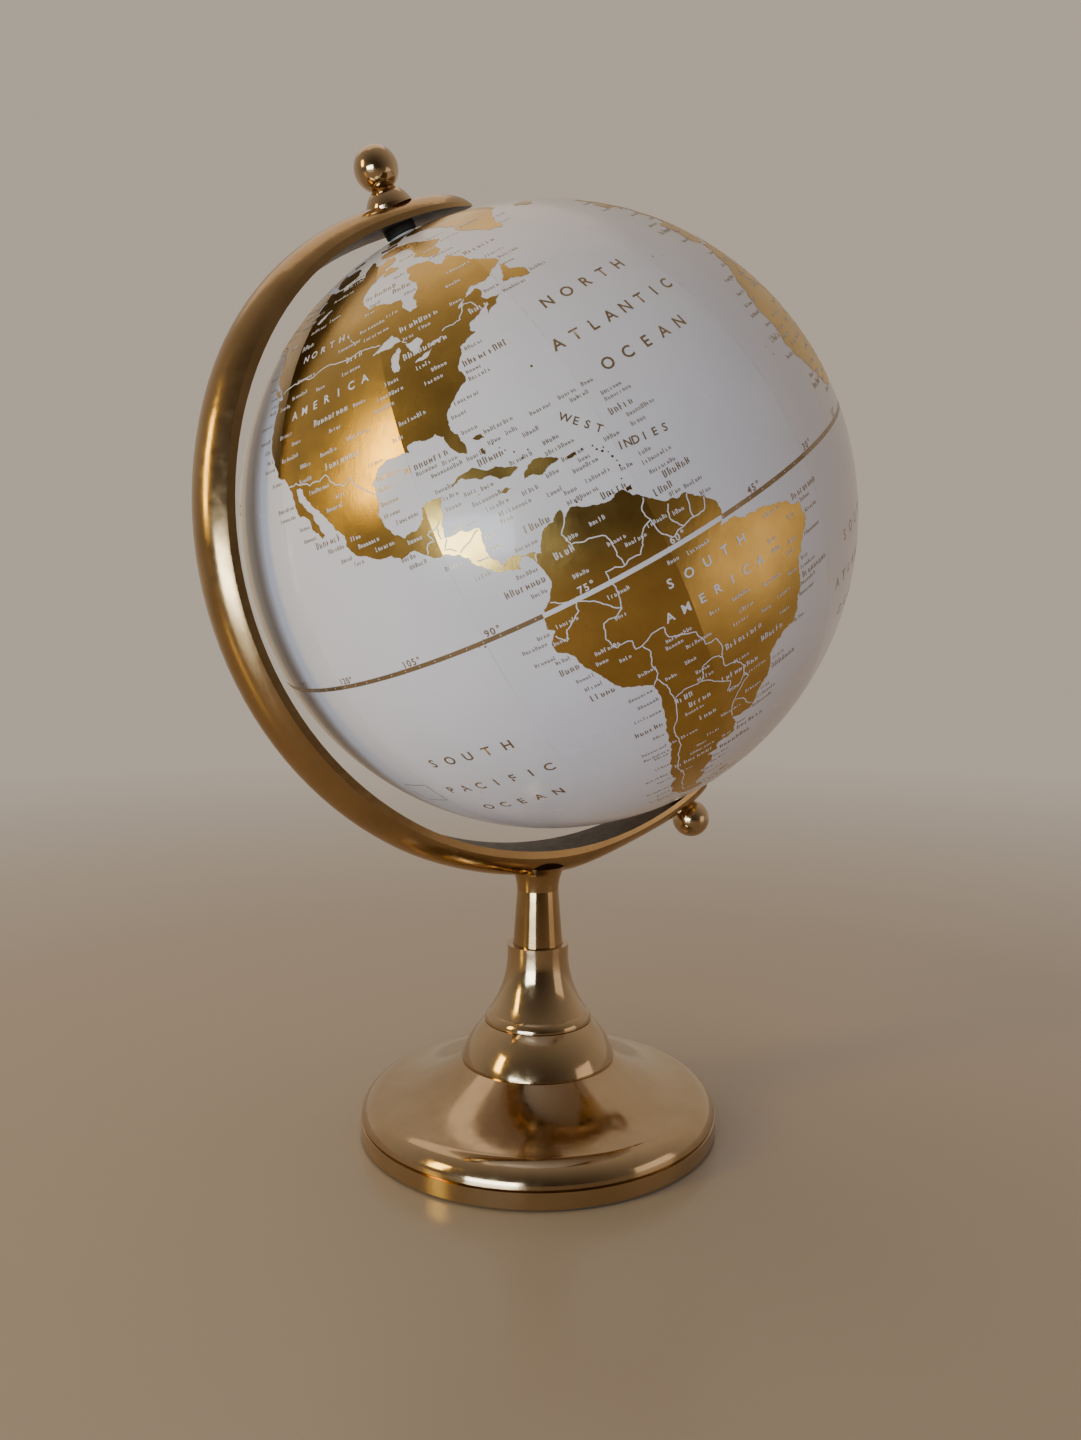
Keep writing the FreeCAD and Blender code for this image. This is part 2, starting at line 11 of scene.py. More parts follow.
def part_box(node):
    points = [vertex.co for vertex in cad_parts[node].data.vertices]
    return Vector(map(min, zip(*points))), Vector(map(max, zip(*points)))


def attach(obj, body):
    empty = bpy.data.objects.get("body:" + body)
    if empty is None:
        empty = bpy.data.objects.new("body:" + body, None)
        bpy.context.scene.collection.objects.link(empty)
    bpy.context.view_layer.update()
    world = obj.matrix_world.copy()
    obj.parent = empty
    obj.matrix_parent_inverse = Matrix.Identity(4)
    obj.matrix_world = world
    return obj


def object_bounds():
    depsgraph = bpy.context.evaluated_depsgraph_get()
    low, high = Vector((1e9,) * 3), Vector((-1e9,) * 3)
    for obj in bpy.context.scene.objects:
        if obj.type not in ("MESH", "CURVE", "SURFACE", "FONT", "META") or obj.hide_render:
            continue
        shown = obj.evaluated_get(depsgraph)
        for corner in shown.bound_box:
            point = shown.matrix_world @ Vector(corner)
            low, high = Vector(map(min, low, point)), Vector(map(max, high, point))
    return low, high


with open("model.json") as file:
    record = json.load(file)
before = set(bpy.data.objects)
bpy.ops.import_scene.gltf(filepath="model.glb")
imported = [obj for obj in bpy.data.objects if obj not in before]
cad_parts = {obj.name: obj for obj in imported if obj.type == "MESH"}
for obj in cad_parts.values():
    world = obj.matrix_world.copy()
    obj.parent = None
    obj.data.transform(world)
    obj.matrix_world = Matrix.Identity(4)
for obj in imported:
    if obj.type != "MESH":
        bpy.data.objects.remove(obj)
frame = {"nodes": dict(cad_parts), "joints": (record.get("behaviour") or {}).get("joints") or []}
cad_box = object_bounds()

# Desktop globe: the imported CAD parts, and the printed map as thin foil patches on the ball.
# Lengths are in metres, in the CAD frame: +Z up, the arm in the XZ plane, its back to -X.

# ---------------------------------------------------------------- the ball's own frame

SPIN = frame["joints"][0]
CENTRE = Vector(SPIN["pos_m"])
POLE = Vector(SPIN["axis"]).normalized()
EAST = Vector((0.0, 1.0, 0.0))
FRONT = EAST.cross(POLE).normalized()
TURN_OF_MAP = -46.9                      # degrees from FRONT to the zero meridian
BALL_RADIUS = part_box("globe_north")[1].y - CENTRE.y

SEAM_LIFT = 0.00002                      # paper seams above the ball
LINE_LIFT = 0.00003                      # gold lines and letters on the white ground
FOIL_LIFT = 0.00007                      # land foil
PRINT_LIFT = 0.00012                     # white printing above the foil


def on_ball(lon, lat, lift=0.0):
    """Point at a longitude and latitude in degrees, at a height above the ball."""
    turn = math.radians(lon + TURN_OF_MAP)
    rise = math.radians(lat)
    flat = FRONT * math.cos(turn) + EAST * math.sin(turn)
    return CENTRE + (flat * math.cos(rise) + POLE * math.sin(rise)) * (BALL_RADIUS + lift)


# ---------------------------------------------------------------- land outlines
# Each outline is drawn as longitude, latitude corners in degrees.  A closed outline
# is land; LAKES are holes in it; BORDERS are open lines.

LAND = {
    "north_america": [
        (-168, 65.6), (-162, 66.3), (-166.8, 68.3), (-163, 69.8), (-156.7, 71.3), (-150, 70.5),
        (-141, 69.6), (-135.5, 68.9), (-128, 70.4), (-124.5, 69.6), (-115, 68.1), (-109, 67.9),
        (-107.5, 66.6), (-102, 67.8), (-96.5, 67.4), (-94.5, 71.8), (-92, 69.6), (-88, 68.4),
        (-85.5, 69.7), (-81.5, 69), (-81.3, 67.5), (-86, 66.3), (-87, 64.8), (-90.5, 63.6),
        (-93.5, 61.8), (-94.7, 59.9), (-94.3, 58.6), (-92.5, 57), (-88, 56.5), (-85, 55.3),
        (-82.3, 55.1), (-82.2, 52.9), (-80.6, 51.3), (-78.8, 51.6), (-79.2, 54), (-77, 55.6),
        (-76.6, 57.3), (-78.4, 58.8), (-77.5, 60.2), (-78, 62.3), (-74, 62.2), (-70.5, 61.1),
        (-69.6, 59.3), (-68, 58.4), (-65.8, 59.3), (-64.6, 60.4), (-62.5, 58.2), (-61, 55.9),
        (-58.5, 54.6), (-57, 53.7), (-55.7, 52.4), (-58.3, 51.4), (-60.5, 50.2), (-65.5, 50.2),
        (-67.5, 49.2), (-70.8, 47), (-68.4, 48.4), (-65, 49.2), (-64.4, 48.4), (-65.2, 47.1),
        (-64.5, 46.1), (-61.5, 45.8), (-60, 46.2), (-63.3, 44.6), (-66, 43.5), (-65.5, 44.8),
        (-64.7, 45.6), (-67, 44.7), (-70, 43.7), (-70.8, 42.5), (-70, 41.7), (-71.8, 41.3),
        (-74, 40.6), (-74.2, 39.5), (-75.3, 38.4), (-76.1, 37), (-75.6, 35.3), (-77.6, 34.2),
        (-79.2, 33.2), (-81, 31.8), (-81.4, 30.3), (-80.5, 28.3), (-80.1, 26.6), (-80.5, 25.2),
        (-81.7, 26), (-82.7, 27.8), (-82.8, 29), (-84, 30), (-85.3, 29.7), (-87.5, 30.3),
        (-89.3, 30.2), (-89.3, 29.1), (-91.5, 29.5), (-94, 29.6), (-95.8, 28.7), (-97.3, 27.5),
        (-97.2, 25.5), (-97.8, 23), (-97.4, 21.2), (-96.2, 19.2), (-94.6, 18.2), (-92.2, 18.6),
        (-90.7, 19.6), (-90.4, 21.1), (-88.2, 21.6), (-86.8, 21.4), (-87.5, 19.6), (-88.2, 17.9),
        (-88.8, 15.9), (-86, 15.9), (-83.2, 15), (-83.6, 12.5), (-83.7, 11), (-82.2, 9.1),
        (-79.9, 9.4), (-77.4, 8.7), (-77.9, 7.3), (-78.6, 8.6), (-79.6, 8.9), (-80.4, 8.2),
        (-80.3, 7.4), (-82, 8.1), (-83.7, 8.5), (-85, 9.8), (-85.8, 10.4), (-86.5, 11.9),
        (-87.7, 13), (-90, 13.8), (-92.2, 14.6), (-94, 16.1), (-96.5, 15.7), (-99.8, 16.8),
        (-102.2, 18), (-104.6, 19.3), (-105.6, 20.5), (-105.3, 22), (-108, 25), (-109.4, 26.6),
        (-111, 28), (-113.1, 31.2), (-114.8, 31.7), (-114.6, 30), (-112.8, 28), (-111.3, 26),
        (-110.3, 24.2), (-109.5, 23.2), (-110.2, 22.9), (-112, 24.6), (-112.3, 26.1),
        (-114.8, 27.3), (-115.8, 30), (-117.1, 32.5), (-118.5, 34), (-120.6, 34.6), (-121.9, 36.6),
        (-122.6, 37.8), (-123.8, 39.2), (-124.3, 40.4), (-124.2, 43), (-124, 46.2), (-124.6, 48.3),
        (-122.5, 48), (-124.9, 50.1), (-127.8, 51.5), (-130.3, 54.5), (-131.5, 56), (-134.5, 58.3),
        (-139.7, 59.6), (-144, 60.1), (-148.5, 60.2), (-151.8, 59.3), (-150.5, 61.1),
        (-153.8, 59.4), (-156.8, 57.2), (-161, 55.4), (-164.8, 54.7), (-160.5, 56.1),
        (-157.5, 58.7), (-162, 58.7), (-165.2, 61), (-161, 63.6), (-161, 64.5), (-166.4, 64.6)],
    "greenland": [
        (-73, 78.2), (-66, 80.3), (-58, 82.2), (-45, 82.4), (-32, 83.6), (-20, 82), (-17.5, 80),
        (-19.5, 76.5), (-21, 74), (-22.3, 72), (-24.5, 70.4), (-27, 68.5), (-33, 67.6),
        (-38, 65.8), (-41, 64), (-42.5, 61.5), (-44, 60), (-48, 61), (-51.5, 64), (-53.6, 66.5),
        (-51.5, 69), (-54.5, 70.6), (-55.5, 72.7), (-59, 75.4), (-66, 76), (-71, 77)],
    "baffin_island": [
        (-80.5, 73.7), (-72, 71.5), (-67.5, 69.3), (-61.7, 66.7), (-64.5, 65.2), (-67.8, 66.2),
        (-65, 63.2), (-66.5, 62), (-71.5, 63.2), (-74.5, 64.6), (-73, 66.3), (-73.2, 68.2),
        (-78, 70), (-84, 70), (-89, 71.2), (-89.5, 72.6), (-85, 73.7)],
    "ellesmere_island": [
        (-76, 83), (-63, 82.4), (-67, 80.8), (-74, 79.2), (-77, 77.7), (-80, 76.3), (-89, 76.5),
        (-87, 78.3), (-92, 80.3), (-91, 81.7), (-85, 82.4)],
    "devon_island": [(-80, 75.6), (-80.5, 74.6), (-91.5, 74.7), (-93, 76.3), (-88, 75.7)],
    "victoria_island": [
        (-106, 73), (-101.8, 70), (-106, 68.9), (-113.5, 68.6), (-117, 69.8), (-118.5, 71.3),
        (-117, 73), (-112, 72.8)],
    "banks_island": [
        (-125.3, 72.1), (-123.3, 71.2), (-119.5, 71.9), (-117, 73.6), (-121, 74.4),
        (-124.5, 73.8)],
    "melville_island": [(-105.5, 75.8), (-107, 75), (-114, 74.9), (-116.5, 75.9), (-110, 76.5)],
    "southampton_island": [(-86.5, 65.3), (-84, 65.8), (-80.5, 64), (-83, 63.7), (-87, 63.7)],
    "newfoundland": [
        (-55.7, 51.4), (-57.8, 49.5), (-59.2, 47.8), (-55.5, 46.9), (-53.1, 46.8), (-53.2, 48.5),
        (-55.8, 49.8)],
    "vancouver_island": [(-128.2, 50.7), (-125.3, 50.2), (-123.6, 48.5), (-125.7, 48.9)],
    "cuba": [
        (-84.8, 21.9), (-83, 22.9), (-80.5, 23.1), (-77.2, 21.8), (-75.2, 20.8), (-74.3, 20.2),
        (-77.5, 19.9), (-78.2, 20.7), (-81.5, 21.8), (-82.8, 22.5)],
    "hispaniola": [
        (-74.3, 18.4), (-72.8, 19.9), (-70, 19.7), (-68.4, 18.6), (-70.5, 18.3), (-71.5, 17.8),
        (-72.5, 18.2)],
    "jamaica": [(-78.3, 18.2), (-77.2, 18.5), (-76.3, 18), (-77.4, 17.8)],
    "puerto_rico": [(-67.2, 18.4), (-65.7, 18.4), (-65.8, 18), (-67.2, 18)],
    "andros": [(-78.3, 25), (-77.8, 25), (-77.7, 23.9), (-78.2, 24.2)],
    "grand_bahama": [(-78.8, 26.8), (-77.2, 26.9), (-77, 26.3), (-78.4, 26.5)],
    "trinidad": [(-61.8, 10.7), (-60.9, 10.8), (-61, 10.1), (-61.8, 10.1)],
    "south_america": [
        (-77.4, 8.5), (-76.7, 8.2), (-75.6, 10.4), (-74.8, 11.1), (-73.2, 11.3), (-71.6, 12.4),
        (-71.4, 11), (-70, 12), (-68.4, 11.2), (-66, 10.5), (-64.5, 10.2), (-62.3, 10.7),
        (-61.5, 9.5), (-60, 8.4), (-57.5, 6.3), (-54, 5.9), (-51.6, 4.2), (-50.2, 1.8),
        (-50.2, 0.2), (-51.2, -0.9), (-48.4, -0.9), (-44.6, -2.3), (-41.5, -2.9), (-38.5, -3.7),
        (-35.4, -5.2), (-34.8, -7.5), (-35.3, -9.3), (-37.2, -11.2), (-38.6, -13), (-39, -16),
        (-39.3, -17.8), (-40.7, -20.8), (-41.9, -22.9), (-44.5, -23.1), (-46.8, -24.2),
        (-48.5, -26), (-48.8, -28.5), (-50.3, -30.5), (-52.3, -33), (-54, -34.7), (-56.3, -34.8),
        (-58.3, -34), (-57.3, -36), (-57.8, -38.2), (-62.1, -38.9), (-62.3, -40.7), (-65, -41),
        (-63.7, -42.6), (-65.4, -44.8), (-67.4, -46.2), (-65.9, -47.9), (-68.3, -50.1),
        (-69, -51.6), (-68.4, -52.5), (-66.5, -54.5), (-67.5, -55.5), (-71, -54.8), (-74.3, -52.5),
        (-75.3, -50), (-75.3, -46.8), (-73.4, -44), (-73.8, -41.8), (-73.4, -39), (-73.3, -37.2),
        (-71.7, -33.5), (-71.5, -30.3), (-70.6, -26), (-70.2, -20), (-70.4, -18.3), (-72.5, -17),
        (-75.5, -15.2), (-76.3, -13.8), (-77.2, -12), (-79, -8.4), (-81.1, -6), (-81.3, -4.5),
        (-79.9, -2.8), (-80.9, -2.1), (-80.4, -0.3), (-80, 0.8), (-78.7, 1.6), (-77.2, 3.9),
        (-77.6, 6.3), (-77.9, 7.2)],
    "falklands": [(-61, -51.6), (-58, -51.4), (-58.5, -52), (-60.8, -52.2)],
    "africa": [
        (-5.9, 35.8), (-2, 35.1), (3, 36.8), (9.8, 37.3), (10.2, 34.2), (15, 32.4), (19, 30.4),
        (20.5, 32.6), (23, 32.4), (29, 30.9), (32.3, 31.2), (32.5, 29.9), (35.5, 24), (37.2, 20.5),
        (39.5, 15.5), (43.3, 11.7), (45, 10.5), (51.2, 11.8), (50, 8), (47.5, 4.2), (43, -0.5),
        (39.5, -4.5), (39.3, -7.5), (40.6, -11), (40.5, -15.2), (35, -20), (35.5, -24),
        (32.8, -26.2), (32.3, -28.7), (30, -31.5), (26, -33.8), (20, -34.7), (18.3, -33.8),
        (17.2, -30), (15, -26.5), (14.4, -22.5), (11.8, -17.5), (13.5, -12), (12.2, -6), (9, -1),
        (9.6, 3.7), (7, 4.4), (5, 5.8), (2.5, 6.3), (-2, 4.9), (-7.5, 4.4), (-11.5, 6.9),
        (-13.3, 9), (-15, 11), (-16.7, 13), (-17.4, 14.7), (-16.3, 19), (-17, 21), (-14.8, 25.5),
        (-12.8, 28), (-9.8, 30), (-9.2, 32.5), (-6.8, 34)],
    "madagascar": [
        (49.3, -12.1), (50.3, -15.6), (47.2, -24.7), (44.3, -25), (43.3, -22), (44.4, -19.5),
        (44.4, -16.3), (47, -15.2)],
    "eurasia": [
        (-5.6, 36.1), (-8.9, 37), (-9.4, 38.8), (-8.8, 41), (-9.1, 43.1), (-1.8, 43.4), (-1.2, 46),
        (-4.6, 48.3), (-1.5, 48.7), (1.8, 50.8), (4.5, 52.4), (7, 53.5), (8.6, 54), (8.2, 57),
        (10.5, 57.6), (10.2, 54.8), (14, 54.2), (19.5, 54.5), (21.2, 56), (22, 57.5), (24.2, 57.3),
        (23.6, 59.2), (28, 59.6), (29.8, 60), (25, 60.2), (22, 60.4), (21.5, 62.8), (25.2, 65),
        (22, 65.6), (17.5, 62), (18.6, 60), (16.6, 57.8), (15.8, 56.2), (13, 55.5), (11.2, 59),
        (8, 58.1), (5.5, 59.2), (5.2, 61.8), (10, 64), (14, 67.3), (20, 69.8), (27, 71),
        (31, 70.2), (41, 67.3), (39.5, 66.2), (33.5, 66.6), (37.2, 64.2), (40.5, 64.8), (44, 66.2),
        (44.5, 68.2), (54, 68.5), (60, 68.9), (68, 68.4), (67.5, 71.5), (72.5, 71.5), (74, 68),
        (79, 72.2), (87, 75), (98, 76.2), (104.3, 77.6), (112.5, 75.8), (110, 74.1), (125, 73.4),
        (130, 71.1), (140, 72.6), (160, 69.8), (170, 70), (180, 68.9), (190, 66.2), (186, 64.6),
        (179, 62.6), (170.5, 60.1), (163.5, 58.2), (162.3, 56), (156.8, 51.1), (155.8, 56),
        (162.5, 61.4), (155, 59.4), (143, 59.3), (135.5, 54.8), (141, 52.8), (140.2, 48.5),
        (135.2, 44), (131.7, 43), (129.7, 41), (127.6, 39.6), (129.3, 37), (129, 35.3),
        (126.5, 34.5), (126.6, 37.2), (124.8, 39.6), (121.5, 39), (121.6, 40.7), (118, 39),
        (120, 37.6), (122.4, 37.2), (119.4, 35), (121.8, 31.6), (121.5, 28.5), (118.6, 24.7),
        (114, 22.4), (110.4, 21.3), (108.3, 21.6), (105.9, 19), (109.2, 13.2), (107, 10.5),
        (105, 8.8), (104.8, 10.4), (102.3, 12.2), (100.6, 13.4), (99.4, 10.2), (100.6, 7.3),
        (103.3, 4.2), (103.8, 1.4), (101.2, 3), (98.4, 8), (98.6, 13), (97.4, 16.6), (94.5, 16.1),
        (94, 19.2), (91.6, 22.4), (87, 21.4), (82.2, 16.8), (80.2, 15), (79.9, 10.4), (77.6, 8.2),
        (75, 12), (72.8, 19), (72.5, 21.4), (69, 22.4), (67, 24.8), (61.5, 25.1), (57.3, 25.9),
        (56.2, 27.1), (51.5, 27.9), (49.8, 30.1), (48.1, 29.8), (50.1, 26.7), (51.4, 25.5),
        (51.6, 24.3), (56.1, 26.1), (56.6, 24.2), (59.7, 22.5), (57.5, 19), (52.2, 15.6),
        (45, 12.9), (43.4, 12.8), (42.5, 16.5), (39.1, 21.3), (35.2, 27.9), (34.6, 29.4),
        (34.4, 31.4), (36, 36), (30.6, 36.6), (27.5, 36.9), (26.4, 39.4), (29.2, 41.1), (33, 42),
        (38, 41), (41.5, 41.7), (37.6, 44.6), (39.2, 47), (35.3, 46.3), (36.2, 45.3), (33.7, 44.6),
        (32.9, 45.8), (30.8, 46.4), (28.8, 44.2), (27.8, 42.6), (28.8, 41.3), (26.2, 40.8),
        (23.8, 40.2), (23.8, 37.9), (22.8, 36.7), (21.3, 37.8), (19.5, 40.6), (19.4, 42),
        (15.3, 44.1), (13.7, 45.5), (12.4, 45.1), (13.7, 43.5), (16, 41.8), (18.3, 40.1),
        (17, 40.4), (16.6, 38.6), (15.8, 38.1), (15.3, 40.1), (12.3, 41.8), (10.3, 43.8),
        (8.8, 44.3), (6.5, 43.2), (3.3, 43.2), (3.1, 41.8), (0.3, 40), (-0.3, 38.5), (-2, 36.8)],
    "great_britain": [
        (-5.4, 50.2), (1.2, 51.2), (1.6, 52.6), (0.2, 53.1), (-1.6, 55.2), (-2, 57.5), (-5, 58.5),
        (-5.8, 56.5), (-3.4, 54.8), (-4.4, 53.2), (-5, 51.9), (-3.2, 51.4)],
    "ireland": [(-6.2, 52.2), (-6, 54), (-7.4, 55.2), (-9.8, 54.1), (-10.1, 52.1), (-8.6, 51.7)],
    "iceland": [
        (-24, 65.4), (-22.5, 66.3), (-16, 66.4), (-13.8, 65), (-18.8, 63.5), (-22.6, 63.9),
        (-21.8, 64.8)],
    "honshu": [
        (130.4, 31.4), (130, 33.3), (132.2, 35), (136.8, 36.9), (139.8, 40), (141.2, 41.3),
        (141.9, 39.5), (140.8, 35.8), (138.8, 34.8), (135.8, 33.6), (132.2, 33.4)],
    "hokkaido": [(140.2, 42), (141.7, 45.3), (145.3, 43.4), (143.2, 42.2)],
    "sakhalin": [(142, 46.2), (142.2, 54.2), (143.2, 52.3), (143.3, 47.3)],
    "luzon": [
        (120.3, 16), (120.8, 18.4), (122.1, 18.3), (121.7, 15.8), (124, 12.7), (120.8, 13.8)],
    "mindanao": [(122.2, 7), (123.5, 8.6), (125.4, 9.6), (126.4, 7.5), (125.4, 5.8), (124, 6.7)],
    "borneo": [
        (109.1, 1.5), (111.2, 2.3), (113.2, 3.2), (116.8, 6.8), (119, 5.2), (117.8, 1),
        (116, -3.7), (114.5, -4), (110.3, -2.8)],
    "sumatra": [
        (95.4, 5.5), (98, 4.1), (103.5, -0.8), (106, -3), (105.7, -5.7), (102.3, -4), (98.7, 1.6)],
    "java": [
        (105.4, -6.8), (106.8, -6.1), (110.8, -6.5), (114.3, -7.8), (114.3, -8.6), (108.5, -7.8)],
    "sulawesi": [
        (119.6, -5.4), (119, -3), (120, 0.6), (125, 1.4), (121, 0.2), (123, -1), (121.5, -2),
        (122.7, -4.4), (120.8, -3), (120.4, -5.4)],
    "new_guinea": [
        (131.2, -0.9), (134, -0.9), (135, -3.2), (141, -2.7), (145.5, -4.6), (147.7, -6.5),
        (150.5, -10.3), (147, -9.5), (144, -7.8), (141, -9), (138.3, -8.3), (138, -5.6),
        (133, -4)],
    "australia": [
        (114, -22), (113.5, -26), (115, -30), (115.2, -34.2), (118, -35), (123.8, -33.9),
        (131, -31.6), (135.5, -34.7), (137.8, -33), (138.3, -35.5), (140.5, -38), (146.3, -39),
        (150, -37.3), (151.4, -33), (153.4, -28.5), (152.8, -25), (149, -20.5), (146, -19),
        (145.3, -15), (142.6, -10.9), (141.6, -13.5), (140.8, -17.4), (137, -16), (135.6, -15),
        (136.7, -12.3), (132.6, -11.5), (130.8, -12.5), (129.5, -14.9), (126, -14.1),
        (122.3, -17.8), (119, -20)],
    "tasmania": [(144.8, -40.8), (148.1, -40.9), (147.5, -43.1), (146, -43.4)],
    "new_zealand_north": [
        (172.9, -34.6), (175.5, -37), (178.3, -37.8), (176.8, -40), (175.1, -41.5), (173.9, -39.3),
        (174.7, -37.5)],
    "new_zealand_south": [
        (172.7, -40.7), (174.1, -41.8), (172.8, -43.7), (170.6, -45.9), (168.4, -46.5),
        (166.6, -45.8), (170.4, -43)],
    "sri_lanka": [(79.9, 8), (80.2, 9.6), (81.7, 7.3), (80.5, 6.1)],
    "taiwan": [(120.2, 23), (121.5, 25.1), (120.9, 22.1)],
    "novaya_zemlya": [(52.5, 71.2), (56, 73.6), (67.5, 76.7), (61, 75.3), (56, 71.4)],
    "svalbard": [(14, 77.4), (11.5, 79.4), (20, 80.1), (24.5, 79.8), (17.5, 76.9)],
    "antarctica": [
        (180, -78), (160, -77), (170, -72), (155, -69.5), (135, -66.3), (115, -66.6), (100, -66.3),
        (85, -67), (75, -69.5), (60, -67.3), (40, -69), (15, -69.8), (-8, -71), (-20, -74),
        (-36, -78), (-60, -75), (-62, -68), (-58, -63.6), (-67, -67.8), (-75, -73), (-100, -73),
        (-120, -74), (-135, -74.6), (-150, -77)],
}

LAKES = [
    [(-92, 46.8), (-89, 48), (-86.5, 48.7), (-84.7, 46.7), (-87, 46.5), (-90, 46.8)],
    [(-87.8, 42), (-87.8, 44.6), (-85.6, 45.9), (-85.4, 44.9), (-86.3, 43.5), (-86.8, 41.8)],
    [(-84, 45.9), (-81, 46), (-80.2, 44.7), (-81.7, 43.4), (-82.5, 43.1), (-83.4, 44.4)],
    [(-83.2, 41.8), (-81.5, 41.6), (-79, 42.8), (-80.5, 42.6), (-82.5, 42.2)],
    [(-79.6, 43.3), (-77, 43.3), (-76.3, 44), (-78, 43.9)],
    [(-98.8, 53.8), (-96.5, 51.2), (-96.3, 50.5), (-97.8, 51.8), (-99.2, 53.2)],
    [(-116.5, 61.3), (-113.5, 62.3), (-109.5, 62.7), (-112.5, 61.4), (-115.5, 60.8)],
    [(-123.5, 65.3), (-120.5, 66.9), (-118, 66.4), (-120.5, 65.6), (-122.5, 65)],
    [(50, 46.5), (53, 45), (53.3, 41), (53.8, 37.4), (49.8, 37.6), (49.6, 41), (47.8, 43.5)],
]

